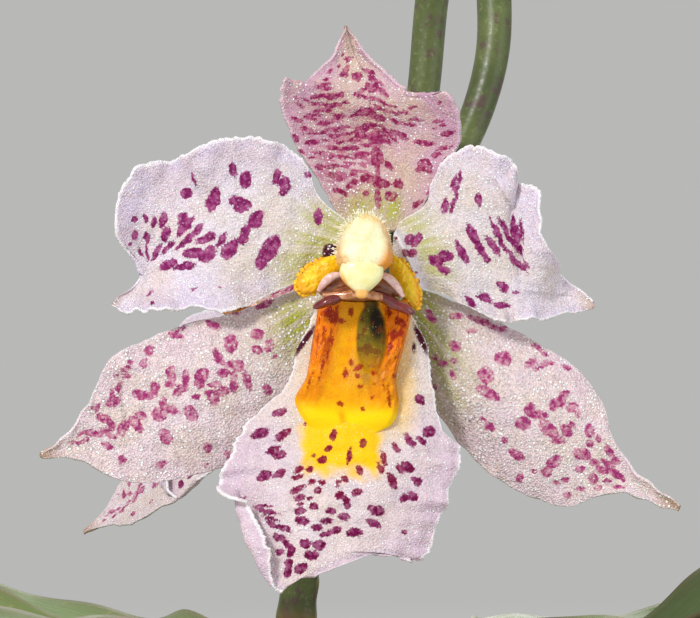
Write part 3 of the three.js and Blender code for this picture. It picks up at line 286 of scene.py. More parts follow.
        (-6.22, -11.1, 0.52, 0.26, 20), (-7.68, -12.68, 0.64, 0.35, 20), (-5.95, -12.76, 0.64, 0.26, 35),
        (-6.68, -13.91, 0.55, 0.24, 25), (-6.26, -14.29, 0.51, 0.29, 5), (-7.33, -15.85, 0.58, 0.35, 25),
        (-6.18, -15.67, 0.49, 0.26, 30), (-4.77, -15.33, 0.38, 0.2, 35), (-3.96, -15.33, 0.24, 0.2, 0),
        (-4.88, -15.94, 0.46, 0.17, 15), (-4.83, -16.84, 0.61, 0.21, 25), (-3.78, -16.28, 0.28, 0.2, 0),
        (-3.04, -16.31, 0.24, 0.17, 0), (-3.35, -16.92, 0.26, 0.23, 0), (-4.8, -17.47, 0.4, 0.21, 10),
        (-3.96, -17.5, 0.24, 0.12, 0), (-4.62, -17.93, 0.21, 0.14, 0), (-3.65, -18.08, 0.31, 0.26, 0),
        (-4.72, -18.47, 0.4, 0.23, 0), (-4.57, -19.19, 0.49, 0.31, 0), (-3.42, -19.69, 0.37, 0.24, 0),
        (-2.4, -18.42, 0.37, 0.21, 0), (-2.74, -19.19, 0.43, 0.21, 0), (-2.09, -19.88, 0.46, 0.26, 10),
        (-2.81, -20.18, 0.4, 0.18, 10), (-1.74, -17.27, 0.34, 0.29, 0), (-1.24, -17.62, 0.34, 0.18, -40),
        (-1.17, -17.99, 0.26, 0.2, 80), (-0.52, -17.07, 0.43, 0.28, 15), (-1.43, -18.85, 0.43, 0.26, 0),
        (-1.89, -16.23, 0.17, 0.14, 0), (-1.88, -16.58, 0.15, 0.09, 0), (-1.33, -16.09, 0.31, 0.21, -40),
        (1.01, -18.39, 0.61, 0.35, -20), (0.79, -19.37, 0.61, 0.26, -25), (-0.67, -20.03, 0.58, 0.29, 5),
        (2.16, -16.2, 0.61, 0.28, -65), (3.31, -15.18, 0.51, 0.4, -40), (2.7, -15.28, 0.38, 0.18, -60),
        (3.97, -16.2, 0.4, 0.28, -30), (3.69, -17.35, 0.41, 0.31, -30), (3, -17.47, 0.37, 0.29, 60),
        (1.29, -15.28, 0.41, 0.2, -55), (1.52, -14.52, 0.55, 0.21, -75), (2.47, -13.75, 0.43, 0.2, -65),
        (3.46, -13.22, 0.58, 0.29, -50), (4.31, -13.22, 0.38, 0.21, -40), (4.89, -12.57, 0.46, 0.43, 60),
        (4.18, -10.12, 0.44, 0.31, -60), (-2.2, -12.83, 0.4, 0.26, 75), (-2.58, -13.8, 0.28, 0.21, 30),
        (-3.04, -14.67, 0.34, 0.23, 20), (-3.65, -14.32, 0.14, 0.12, 0), (-1.01, -14.36, 0.52, 0.18, 80),
        (-0.01, -13.45, 0.31, 0.26, 70), (-0.29, -15.44, 0.4, 0.21, -60), (-4.27, -11.84, 0.31, 0.12, 80),
        (-7.48, -18.08, 0.58, 0.11, 0), (-6.84, -18.57, 0.55, 0.14, -10), (-7.63, -18.39, 0.43, 0.11, -40),
        (-6.87, -19.03, 0.46, 0.12, -15), (-6.75, -19.49, 0.55, 0.18, -35),
        (-5.87, -19.75, 0.52, 0.21, -15), (-6.44, -20.44, 0.31, 0.2, 90), (-6.03, -20.49, 0.31, 0.17, -60),
        (-5.72, -20.9, 0.4, 0.2, -60), (-6.26, -21.48, 0.31, 0.23, 0), (-5.41, -21.41, 0.46, 0.29, 90),
        (-5.57, -22.32, 0.37, 0.31, 90), (-5.64, -23.01, 0.4, 0.24, 80), (-4.34, -20.87, 0.41, 0.37, 0),
        (-3.27, -20.98, 0.43, 0.38, 0), (-3.88, -21.74, 0.52, 0.32, 5), (-4.62, -22.71, 0.55, 0.34, 30),
        (3.05, -20.03, 0.21, 0.14, -40), (-8.98, -17.47, 0.24, 0.08, 15),
    ],
    "callus": [
        (-1.71, -10.39, 0.28, 0.21, -30), (-0.01, -10.8, 0.2, 0.17, 0), (-0.21, -9.11, 0.23, 0.15, 20),
        (-0.9, -7.32, 0.2, 0.28, 0), (-0.36, -7.71, 0.43, 0.21, 30), (-1.33, -8.14, 0.21, 0.43, 0),
        (-0.41, -8.32, 0.23, 0.18, 0), (0.79, -8.09, 0.21, 0.15, 0), (0.86, -8.93, 0.12, 0.09, 0),
        (0.71, -9.93, 0.18, 0.09, 60), (-2.58, -3.57, 0.52, 0.34, 0), (-2.2, -3.96, 0.4, 0.46, 0),
        (-1.66, -4.19, 0.34, 0.21, 0), (-0.9, -3.5, 0.24, 0.34, 0), (-2.89, -4.88, 0.15, 0.34, 0),
        (-2.43, -5.64, 0.21, 0.15, 0), (-2.31, -5.72, 0.11, 0.46, -12), (-3.04, -7.55, 0.12, 0.58, -12),
        (-2.66, -6.79, 0.09, 0.4, -15), (-3.96, -8.62, 0.09, 0.52, -18), (-3.27, -8.47, 0.11, 0.21, 0),
        (-2.86, -6.48, 0.11, 0.12, 0), (2.85, -4.34, 0.61, 0.28, -40), (2.32, -5.26, 0.31, 0.4, 0),
        (2.85, -5.1, 0.24, 0.34, 0), (2.04, -6.1, 0.21, 0.31, 0), (2.47, -6.94, 0.15, 0.12, 0),
        (1.93, -6.41, 0.09, 0.34, 0), (1.93, -9.85, 0.11, 0.67, 5), (2.01, -10.39, 0.11, 0.28, 0),
        (2.39, -8.32, 0.18, 0.18, 0), (1.55, -8.62, 0.11, 0.14, 0), (1.55, -9.08, 0.09, 0.12, 0),
    ],
}

# ---- The plant's other parts, in mm ----
RHIZOME = [(-15, 4.5, 63.5), (-7, 2, 63.8), (2, 0.5, 63.8), (11, 0, 63.4)]
BULB = dict(radii=(2.1, 3.0, 3.3, 2.9, 1.25))
GROWTHS = [
    dict(
        at=(-13.5, 5.5),
        rib=[(-14.6, 6.2, 73.2), (-20, 7.8, 74.2), (-29, 9.5, 75.2), (-40, 11, 80), (-52, 11.5, 88), (-62, 11, 97)],
        width=20,
    ),
    dict(
        at=(-10.5, -2.5),
        rib=[
            (-11.6, -3.6, 73.2), (-15, -7, 75.6), (-22, -17, 77), (-31, -29, 78.5), (-40, -41, 77.5),
            (-47.5, -51.5, 73),
        ],
        width=20,
    ),
    dict(
        at=(-7.6, 8.4),
        rib=[
            (-8.6, 9.8, 73), (-11, 13.6, 73.8), (-18, 23, 73.6), (-27, 33, 73.6), (-37, 42.5, 76.5), (-46, 50.5, 80),
        ],
        width=19,
    ),
    dict(
        at=(0.5, -5.2),
        rib=[(1.2, -6.6, 73), (4, -11, 75.6), (10, -21, 77), (18, -32, 77.4), (26.5, -42, 75.2), (33, -50.5, 71)],
        width=18,
    ),
    dict(
        at=(4, 7.4),
        rib=[(4.9, 8.9, 73), (7.6, 13, 73.8), (15, 22.5, 73.8), (25, 32, 73.6), (35.5, 40, 75), (45, 46.5, 75.6)],
        width=19,
    ),
    dict(
        at=(9.5, -3.8),
        rib=[
            (11, -4.8, 73), (15.5, -8, 74.6), (25, -13.5, 75.4), (37, -19, 78), (49.5, -23.5, 79.5),
            (60.5, -27, 78.5),
        ],
        width=18,
    ),
    dict(
        at=(11.5, 4.5),
        rib=[(13, 5, 73), (18, 6.6, 74), (27, 8.5, 75.4), (36, 10.2, 82), (43.5, 11.5, 94), (48.5, 12, 107)],
        width=19,
    ),
]
ROOTS = [
    dict(
        path=[
            (-13.8, -5.6, 59), (-14.8, -6.6, 64.2), (-18.5, -11, 66.6), (-17.5, -19, 66.5), (-11, -25, 64.5),
            (-6, -26.5, 59),
        ],
        radius=0.95,
    ),
    dict(
        path=[
            (-2.8, -9, 59), (-2.2, -10, 64.2), (1.5, -15, 66.6), (8, -21.5, 66.3), (15.5, -23.5, 63.5),
            (19.5, -22, 58.5),
        ],
        radius=0.9,
    ),
    dict(
        path=[
            (14.8, 0, 59), (16, -0.6, 64.2), (20.5, -3.5, 66.4), (26, -9.5, 66.2), (27.8, -14.5, 63.2),
            (27.2, -17.5, 58.5),
        ],
        radius=0.95,
    ),
    dict(
        path=[
            (9.4, 10.4, 59), (10.2, 11.4, 64.2), (14.5, 15.5, 66.6), (18, 21.5, 66.4), (15.5, 26.5, 63.8),
            (12, 28, 58.5),
        ],
        radius=0.9,
    ),
    dict(
        path=[
            (-12.5, 10.8, 59), (-13.3, 12.6, 64.2), (-15.4, 17, 66.6), (-15, 23, 66.4), (-10, 28, 63.8),
            (-6, 29.5, 58.5),
        ],
        radius=0.9,
    ),
    dict(
        path=[
            (-18.2, 2.6, 59), (-19.2, 2.2, 64.2), (-25, 1, 67.8), (-33, -4, 73.8), (-39, -9, 75.3),
            (-43.5, -12.5, 71), (-43.9, -14, 60), (-43.4, -13, 47), (-45, -15, 34),
        ],
        radius=1.0,
    ),
]
STALK_1 = dict(
    path=[
        (-5.2, -3.6, 60), (-5.6, -4.2, 75), (-4, -4.8, 90), (0, -5, 105), (3.9, -5, 115), (5.0, -5, 122.6),
        (5.7, -5.2, 130), (6.8, -7.5, 136.2), (8.4, -12.5, 138.6), (9.8, -17.6, 135.6), (10.2, -20.2, 129),
        (10, -21.5, 124.3), (8.7, -22.6, 119.6), (6.6, -24, 115.4), (4, -24.8, 111.9), (1.6, -25.4, 109.6),
        (0.6, -26.8, 108.8),
    ],
    radii=(1.5, 1.5, 1.5, 1.45, 1.35, 1.3, 1.35, 1.4, 1.35, 1.2, 1.1),
    bracts=(0.16, 0.33, 0.47, 0.6),
)
STALK_2 = dict(
    path=[
        (-1.8, 6, 60), (-2.8, 9.4, 70), (-5.6, 14, 78), (-5.5, 20.5, 85), (-3.4, 26.6, 91), (-2.8, 30, 95.6),
        (-4.6, 29.6, 98.8), (-6.5, 27.1, 100.7),
    ],
    radii=(1.3, 1.3, 1.25, 1.2, 1.1, 1.2, 1.1),
    bracts=(0.25, 0.5),
)
WING_LEFT = [
    (-1.25, 0.9), (-3.0, 0.5), (-4.2, -0.2), (-4.9, -1.2), (-4.8, -2.0), (-4.0, -2.2), (-2.8, -1.6), (-1.25, -0.5),
]
WING_RIGHT = [
    (1.95, 1.5), (2.5, 0.3), (3.1, 0.1), (3.9, -1.2), (4.2, -2.4), (4.0, -3.2), (3.1, -2.6), (2.4, -1.4),
    (1.95, -0.6),
]
ANTHER = dict(centre=(0.0, -6.7, -0.5), radii=(1.7, 1.1, 1.75))
HOOD = dict(centre=(0.1, -4.7, 1.5), radii=(1.95, 0.75, 2.35))
STIGMA = dict(centre=(-0.25, -4.1, -1.95), radii=(3.1, 0.7, 0.85))

# ---- Small helpers ----
def rgb(code):
    """A linear colour from a hex code."""
    parts = [int(code[i : i + 2], 16) / 255 for i in (1, 3, 5)]
    return (*[p / 12.92 if p <= 0.04045 else ((p + 0.055) / 1.055) ** 2.4 for p in parts], 1.0)


def smooth(low, high, x):
    t = np.clip((np.asarray(x, float) - low) / (high - low), 0, 1)
    return t * t * (3 - 2 * t)


def spline(points, t):
    """Points at t, from 0 to 1, on a smooth curve through the given points."""
    points = np.asarray(points, float)
    padded = np.vstack([2 * points[0] - points[1], points, 2 * points[-1] - points[-2]])
    x = np.clip(t, 0, 1) * (len(points) - 1)
    i = np.minimum(x.astype(int), len(points) - 2)
    f = (x - i)[..., None]
    a, b, c, d = (padded[i + k] for k in range(4))
    start, end = (c - a) / 2, (d - b) / 2
    return b + f * start + f**2 * (3 * (c - b) - 2 * start - end) + f**3 * (2 * (b - c) + start + end)


def spread(points, count):
    """Parameters that set count points at even distances along the curve."""
    t = np.linspace(0, 1, 1200)
    steps = np.linalg.norm(np.diff(spline(points, t), axis=0), axis=1)
    length = np.concatenate([[0], np.cumsum(steps)])
    return np.interp(np.linspace(0, length[-1], count), length, t)


def unit(vectors):
    return vectors / np.maximum(np.linalg.norm(vectors, axis=-1, keepdims=True), 1e-9)


def ripple(points, wavelength, seed, waves=10):
    """Smooth noise of about -1 to 1 at points, with features about a wavelength across."""
    rng = np.random.default_rng(seed)
    points = np.asarray(points, float)
    total = np.zeros(points.shape[:-1])
    for _ in range(waves):
        direction = unit(rng.normal(size=points.shape[-1]))
        stretch = rng.uniform(0.6, 1.6) * 2 * math.pi / wavelength
        total += np.sin(points @ direction * stretch + rng.uniform(0, 2 * math.pi))
    return total / math.sqrt(waves)


def make(name, points, faces, materials, slot, replaces, masks=None, vectors=None, which=None):
    """A mesh piece from points in mm, with float masks for its material, riding on the one body."""
    mesh = bpy.data.meshes.new(name)
    mesh.from_pydata((np.asarray(points) * MM).tolist(), [], [tuple(f) for f in faces])
    for key, values in (masks or {}).items():
        mesh.attributes.new(key, "FLOAT", "POINT").data.foreach_set("value", np.ravel(values).astype(np.float32))
    for key, values in (vectors or {}).items():
        layer = mesh.attributes.new(key, "FLOAT_VECTOR", "POINT")
        layer.data.foreach_set("vector", np.ravel(values).astype(np.float32))
    for material in materials:
        mesh.materials.append(material)
    if which is not None:
        mesh.polygons.foreach_set("material_index", np.asarray(which, np.int32))
    mesh.shade_smooth()
    mesh.validate()
    piece = bpy.data.objects.new(name, mesh)
    bpy.context.scene.collection.objects.link(piece)
    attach(piece, "root")
    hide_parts(*replaces)
    return piece


class Parts:
    """Several closed meshes gathered into one piece."""

    def __init__(self):
        self.points, self.faces, self.masks, self.vectors, self.which = [], [], {}, {}, []
        self.count = 0

    def add(self, points, faces, masks=None, vectors=None, which=0):
        points = np.asarray(points, float).reshape(-1, 3)
        self.points.append(points)
        self.faces += [tuple(int(k) + self.count for k in f) for f in faces]
        self.which += [which] * len(faces)
        for store, given, width in ((self.masks, masks, 1), (self.vectors, vectors, 3)):
            for key in set(store) | set(given or {}):
                empty = np.zeros((self.count, width))
                rows = store.get(key, empty)
                new = (given or {}).get(key, 0.0)
                new = np.broadcast_to(np.asarray(new, float).reshape(-1, width), (len(points), width))
                store[key] = np.vstack([rows, new])
        self.count += len(points)

    def make(self, name, materials, slot, move=None, **options):
        points = np.vstack(self.points)
        if move is not None:
            points = move(points)
        layers = dict(masks=self.masks, vectors=self.vectors, which=self.which)
        return make(name, points, self.faces, materials, slot, **layers, **options)


# ---- Closed shells ----
def shell_faces(rows, columns):
    """Faces of a closed shell whose front grid of points comes before its back grid."""
    index = np.arange(rows * columns).reshape(rows, columns)
    layer = rows * columns
    a, b, c, d = (g.ravel() for g in (index[:-1, :-1], index[:-1, 1:], index[1:, :-1], index[1:, 1:]))
    front = np.stack([a, b, d, c], axis=1)
    back = np.stack([a, c, d, b], axis=1) + layer
    loop = np.concatenate([index[0, :-1], index[:-1, -1], index[-1, :0:-1], index[:0:-1, 0]])
    after = np.roll(loop, -1)
    rim = np.stack([after, loop, loop + layer, after + layer], axis=1)
    return np.concatenate([front, back, rim]).tolist()


def tube_faces(rings, sides, downwards=False):
    """Faces round rings of points, and over both ends. downwards: the first ring is the top one."""
    index = np.arange(rings * sides).reshape(rings, sides)
    turned = np.roll(index, -1, axis=1)
    a, b, c, d = (g.ravel() for g in (index[:-1], turned[:-1], index[1:], turned[1:]))
    around = np.stack([a, c, d, b] if downwards else [a, b, d, c], axis=1).tolist()
    ends = (index[0], index[-1, ::-1]) if downwards else (index[0, ::-1], index[-1])
    return around + [tuple(end) for end in ends]


def frames(line):
    """Two directions across a line of points, turning as little as they can along it."""
    along = unit(np.gradient(line, axis=0))
    start = np.array([1.0, 0, 0]) if abs(along[0, 0]) < 0.8 else np.array([0, 1.0, 0])
    first = [unit(np.cross(along[0], start))]
    for direction in along[1:]:
        previous = first[-1]
        first.append(unit(previous - direction * (previous @ direction)))
    first = np.array(first)
    return first, np.cross(along, first)


def tube(path, radius, count, sides, shape=None):
    """Points of a tube: radius is a function of t, and shape one of t and the angle round it."""
    line = spline(path, spread(path, count))
    first, second = frames(line)
    t = np.linspace(0, 1, count)[:, None]
    angle = np.linspace(0, 2 * math.pi, sides, endpoint=False)[None, :]
    reach = radius(t) * (shape(t, angle) if shape else 1.0) * np.ones((count, sides))
    points = line[:, None] + first[:, None] * (np.cos(angle) * reach)[..., None]
    points = points + second[:, None] * (np.sin(angle) * reach)[..., None]
    return points.reshape(-1, 3), tube_faces(count, sides), np.repeat(t, sides, axis=1).ravel()


def taper(radii):
    return lambda t: np.interp(t, np.linspace(0, 1, len(radii)), radii)


def ball(centre, radii, turn=(0, 0, 0), around=40, rings=24, shape=None):
    """An ellipsoid, turned by degrees about X, Y and Z. shape changes its unit points first."""
    polar = np.linspace(0, math.pi, rings + 2)[1:-1, None]
    angle = np.linspace(0, 2 * math.pi, around, endpoint=False)[None, :]
    points = [np.sin(polar) * np.cos(angle), np.sin(polar) * np.sin(angle), np.cos(polar) + 0 * angle]
    points = np.stack(points, axis=-1).reshape(-1, 3)
    if shape:
        points = shape(points)
    matrix = np.array(Euler([math.radians(a) for a in turn]).to_matrix())
    points = (points * np.asarray(radii)) @ matrix.T + np.asarray(centre)
    return points, tube_faces(rings, around, downwards=True)


def spike(base, direction, length, radius, bend=(0, 0, 0), sides=6, rings=5):
    """A tapering tooth from a point, bent a little towards its tip."""
    base, direction, bend = (np.asarray(v, float) for v in (base, direction, bend))
    t = np.linspace(0, 1, rings)
    line = base + np.outer(t * length, unit(direction)) + np.outer(t**2 * length, bend)
    first, second = frames(line)
    angle = np.linspace(0, 2 * math.pi, sides, endpoint=False)
    reach = radius * (1 - 0.93 * t**1.3)
    points = line[:, None] + first[:, None] * (np.outer(reach, np.cos(angle)))[..., None]
    points = points + second[:, None] * (np.outer(reach, np.sin(angle)))[..., None]
    return points.reshape(-1, 3), tube_faces(rings, sides), np.repeat(t, sides)


# ---- Blades ----
def blade(shape):
    """The surface through a blade's three curves, with its margin rolled back where it says so."""

    def flat(u, v):
        left, rib, right = (spline(shape[key], u) for key in ("left", "rib", "right"))
        w = v[..., None]
        return left * w * (w - 1) / 2 + rib * (1 - w * w) + right * w * (w + 1) / 2

    curl = shape.get("curl")
    if not curl:
        return flat

    def rolled(u, v):
        side, radius = curl["side"], curl["radius"]
        start = curl["start"][0] + (curl["start"][1] - curl["start"][0]) * smooth(curl["from"], 0.85, u)
        out = v * side
        angle = math.radians(curl["turn"]) * smooth(curl["from"], curl["full"], u)
        root = flat(u, start * side)
        across = flat(u, np.full_like(v, 1.0 * side)) - root
        length = np.linalg.norm(across, axis=-1) * (out - start) / (1 - start)
        turned = np.minimum(length, radius * angle)
        rest = length - turned
        bend = turned / radius
        points = root + unit(across) * (radius * np.sin(bend) + rest * np.cos(bend))[..., None]
        points[..., 1] -= radius * (1 - np.cos(bend)) + rest * np.sin(bend)
        keep = (out <= start) | (angle < 0.01)
        return np.where(keep[..., None], flat(u, v), points)

    return rolled


def normals(place, u, v, step=0.01):
    du = place(np.minimum(u + step, 1), v) - place(np.maximum(u - step, 0), v)
    dv = place(u, np.minimum(v + step, 1)) - place(u, np.maximum(v - step, -1))
    return unit(np.cross(dv, du))


def both(values):
    """The same values for the front and the back layer of a shell."""
    return np.tile(np.ravel(values), 2)


def layers(front, back):
    return np.concatenate([front.reshape(-1, 3), back.reshape(-1, 3)])


def fibres(across, along):
    """Places across and along the grain of a shell, for both of its layers."""
    lanes = np.stack([across, along, 0 * along], axis=-1).reshape(-1, 3)
    return dict(lanes=np.vstack([lanes, lanes]))


def margins(place, u, v, end=0.004):
    """The normals of a blade, taken a little inside its margins."""
    return normals(place, np.clip(u, end, 1 - end), np.clip(v, -0.99, 0.99))


def grid(rows, columns, low=-1.0):
    return np.meshgrid(np.linspace(0, 1, rows), np.linspace(low, 1, columns), indexing="ij")


def sheet(columns, rows):
    """A wrapped sheet's grid: from -1 to 1 round it, and from 0 at its foot to 1 at its rim."""
    return np.meshgrid(np.linspace(-1, 1, columns), np.linspace(0, 1, rows), indexing="ij")


def seen(points):
    """Where points of the flower show from the front: x and z on the plane of its middle, in mm."""
    scale = VIEW_DISTANCE / (VIEW_DISTANCE + points[..., 1])
    x = VIEW_CENTRE[0] + (points[..., 0] - VIEW_CENTRE[0]) * scale
    z = VIEW_CENTRE[1] + (points[..., 2] - VIEW_CENTRE[1]) * scale
    return x, z


def nearest(x, z, spots):
    """How far, in mm, each place lies outside the nearest spot; less than zero inside one."""
    best = np.full(np.shape(x), 9.0)
    for cx, cz, length, width, turn in spots:
        cos, sin = math.cos(math.radians(turn)), math.sin(math.radians(turn))
        along = ((x - cx) * cos + (z - cz) * sin) / length
        across = ((z - cz) * cos - (x - cx) * sin) / width
        best = np.minimum(best, (np.hypot(along, across) - 1) * min(length, width))
    return best


def warped(x, z, seed, amount=1.0):
    """Places pushed about a little, so that round spots get uneven outlines."""
    at = np.stack([x, z], axis=-1)
    dx = 0.05 * ripple(at, 1.3, seed) + 0.045 * ripple(at, 0.55, seed + 1)
    dz = 0.05 * ripple(at, 1.3, seed + 2) + 0.045 * ripple(at, 0.55, seed + 3)
    return x + dx * amount, z + dz * amount


def fold(x, z, line, height, reach):
    """A crease along a line: a step up on its left side that eases off with distance."""
    off, along = from_line(x, z, line)
    (ax, az), (bx, bz) = line[0], line[-1]
    left = (bx - ax) * (z - az) - (bz - az) * (x - ax) > 0
    ends = smooth(0, 0.3, along) * smooth(1, 0.5, along)
    return height * np.exp(-((off / reach) ** 2)) * left * ends


def bell(x, z, centre, radii):
    return np.exp(-(((x - centre[0]) / radii[0]) ** 2) - ((z - centre[1]) / radii[1]) ** 2)


def from_line(x, z, line):
    """The distance to a line of points, and how far along it the nearest place is."""
    best, along = np.full(np.shape(x), 99.0), np.zeros(np.shape(x))
    for i in range(len(line) - 1):
        (ax, az), (bx, bz) = line[i], line[i + 1]
        dx, dz = bx - ax, bz - az
        t = np.clip(((x - ax) * dx + (z - az) * dz) / (dx * dx + dz * dz), 0, 1)
        distance = np.hypot(x - ax - t * dx, z - az - t * dz)
        closer = distance < best
        best, along = np.where(closer, distance, best), np.where(closer, (i + t) / (len(line) - 1), along)
    return best, along


# ---- Materials ----
class Nodes:
    """Short calls for building the node tree of one material."""

    def __init__(self, name):
        self.material = bpy.data.materials.new(name)
        self.material.use_nodes = True
        self.tree = self.material.node_tree
        self.shader = self.tree.nodes["Principled BSDF"]
        self.place = self.add("ShaderNodeTexCoord").outputs["Object"]

    def put(self, socket, value):
        """Links a socket, or sets it to a value or to the colour of a hex code."""
        if isinstance(value, bpy.types.NodeSocket):
            self.tree.links.new(value, socket)
        else:
            socket.default_value = rgb(value) if isinstance(value, str) else value

    def add(self, kind, inputs=None, **settings):
        node = self.tree.nodes.new(kind)
        for key, value in settings.items():
            setattr(node, key, value)
        for key, value in (inputs or {}).items():
            self.put(node.inputs[key], value)
        return node

    def math(self, operation, a, b):
        return self.add("ShaderNodeMath", {0: a, 1: b}, operation=operation).outputs[0]

    def plus(self, a, b):
        return self.math("ADD", a, b)

    def minus(self, a, b):
        return self.math("SUBTRACT", a, b)

    def times(self, a, b):
        return self.math("MULTIPLY", a, b)

    def mask(self, name):
        return self.add("ShaderNodeAttribute", attribute_name=name).outputs["Fac"]

    def vector(self, name):
        return self.add("ShaderNodeAttribute", attribute_name=name).outputs["Vector"]

    def step(self, value, low, high, start=0.0, end=1.0):
        inputs = {"Value": value, "From Min": low, "From Max": high, "To Min": start, "To Max": end}
        return self.add("ShaderNodeMapRange", inputs, interpolation_type="SMOOTHSTEP").outputs["Result"]

    def noise(self, scale, detail=3.0, vector=None, roughness=0.5):
        inputs = {"Vector": vector or self.place, "Scale": scale, "Detail": detail, "Roughness": roughness}
        return self.add("ShaderNodeTexNoise", inputs).outputs["Fac"]

    def cells(self, scale, feature="F1", vector=None, output="Distance"):
        inputs = {"Vector": vector or self.place, "Scale": scale}
        return self.add("ShaderNodeTexVoronoi", inputs, feature=feature).outputs[output]

    def stretched(self, vector, scale):
        return self.add("ShaderNodeVectorMath", {0: vector, 1: scale}, operation="MULTIPLY").outputs[0]

    def mix(self, factor, a, b):
        return self.add("ShaderNodeMix", {0: factor, 6: a, 7: b}, data_type="RGBA").outputs[2]

    def start(self, factor, a, b):
        self.colour = self.mix(factor, a, b)

    def paint(self, factor, colour):
        """Lays a colour over what is there so far."""
        self.colour = self.mix(factor, self.colour, colour)

    def bump(self, height, distance, strength=1.0, below=None):
        inputs = {"Height": height, "Distance": distance, "Strength": strength}
        if below:
            inputs["Normal"] = below
        return self.add("ShaderNodeBump", inputs).outputs["Normal"]

    def finish(self, roughness, normal, **constants):
        self.put(self.shader.inputs["Base Color"], self.colour)
        self.put(self.shader.inputs["Roughness"], roughness)
        if normal:
            self.put(self.shader.inputs["Normal"], normal)
        for key, value in constants.items():
            self.shader.inputs[key.replace("_", " ")].default_value = value
        return self.material


SOFT = {"Subsurface_Weight": 0.12, "Subsurface_Radius": (1.0, 0.6, 0.5), "Subsurface_Scale": 0.0006}


def petal_material(name, base, middle, blush, spot, core, glint_and_shade, gold=None):
    """White tissue of fine glistening cells, flushed with lilac and streaked with green, with dark spots, painted
    shade between the cells, painted white glints, and a painted highlight along the margins.
    """
    n = Nodes(name)
    drift = n.noise(420, 3)
    grain = n.noise(6500, 3)
    cell = n.cells(6000)
    speck = n.cells(3300)
    sheen = n.noise(2400, 2)
    n.start(n.step(drift, 0.3, 0.7), base, middle)
    n.paint(n.times(n.mask("blush"), n.step(n.noise(900, 3), 0.2, 0.7, 0.5, 1.0)), blush)
    veins = n.noise(1.0, 2, vector=n.stretched(n.vector("lanes"), (1.0, 0.1, 1)))
    green = n.times(n.mask("green"), n.step(veins, 0.34, 0.58, 0.4, 1.0))
    n.paint(green, "#b0b438")
    if gold:
        n.paint(n.mask("gold"), gold)
    n.paint(n.mask("tan"), "#a57d4a")
    # Painted shade in the grain: darker patches, and darker rims between the cells, on the front face and less on the
    # gold.
    lit = n.times(n.mask("front"), n.minus(1.0, n.times(n.mask("gold"), 0.8)))
    shade = n.times(n.step(n.noise(2900, 4, roughness=0.7), 0.4, 0.7, 0.0, 0.2 + 0.15 * glint_and_shade), lit)
    n.paint(shade, "#8f7c88")
    n.paint(n.times(n.step(cell, 0.35, 0.8, 0.0, 0.12 + 0.18 * glint_and_shade), lit), "#8a7782")
    # A painted highlight where the pale mask lies: along the margins, the dorsal crest and the ridge.
    n.paint(n.times(n.mask("pale"), 0.85), "#faf7fa")
    dust = n.times(n.step(grain, 0.53, 0.6), n.times(n.mask("speckle"), n.step(n.noise(1500, 3), 0.4, 0.6)))
    n.paint(n.times(dust, 0.75), "#5d4652")
    fleck = n.noise(1.0, 2, vector=n.stretched(n.vector("lanes"), (0.75, 1.9, 1)))
    fleck = n.plus(fleck, n.times(n.minus(grain, 0.5), 0.12))
    n.paint(n.times(n.mask("mottle"), n.step(fleck, 0.46, 0.54, 0.0, 0.85)), "#ab3570")
    edge = n.plus(n.mask("mark"), n.times(n.minus(grain, 0.5), 0.3))
    ink = n.mix(n.step(sheen, 0.35, 0.68), spot, core)
    ink = n.mix(n.mask("red"), ink, "#860a26")
    inside = n.times(n.step(edge, -0.01, 0.08, 1.0, 0.0), n.mask("front"))
    inside = n.times(inside, n.step(sheen, 0.3, 0.6, n.mask("faint"), 1.0))
    n.paint(inside, ink)
    # Dark maroon marks, with painted shadow on the left petal by the blotch and behind the wing.
    edge = n.plus(n.mask("stain"), n.times(n.minus(grain, 0.5), 0.2))
    n.paint(n.times(n.step(edge, -0.1, 0.08, 1.0, 0.0), n.mask("front")), "#4a0c20")
    bright = n.step(n.noise(700, 3), 0.3, 0.65, 0.17 + 0.06 * glint_and_shade, 0.27 + 0.12 * glint_and_shade)
    glint = n.times(n.step(n.minus(speck, bright), -0.09, 0.0, 1.0, 0.0), n.step(inside, 0.0, 1.0, 0.95, 0.15))
    glint = n.times(glint, n.step(n.mask("gold"), 0.0, 1.0, 1.0, 0.1))
    n.paint(glint, (1, 1, 1, 1))
    height = n.plus(n.times(cell, -1.0), n.plus(n.times(grain, 0.8), n.times(glint, 1.2)))
    normal = n.bump(n.times(height, n.step(n.mask("gold"), 0.0, 1.0, 1.0, 0.4)), 0.00007 + 0.00004 * glint_and_shade, 0.85)
    return n.finish(n.step(speck, 0.05, 0.4, 0.25, 0.5), normal, **SOFT, Specular_IOR_Level=0.12 if gold else 0.25)


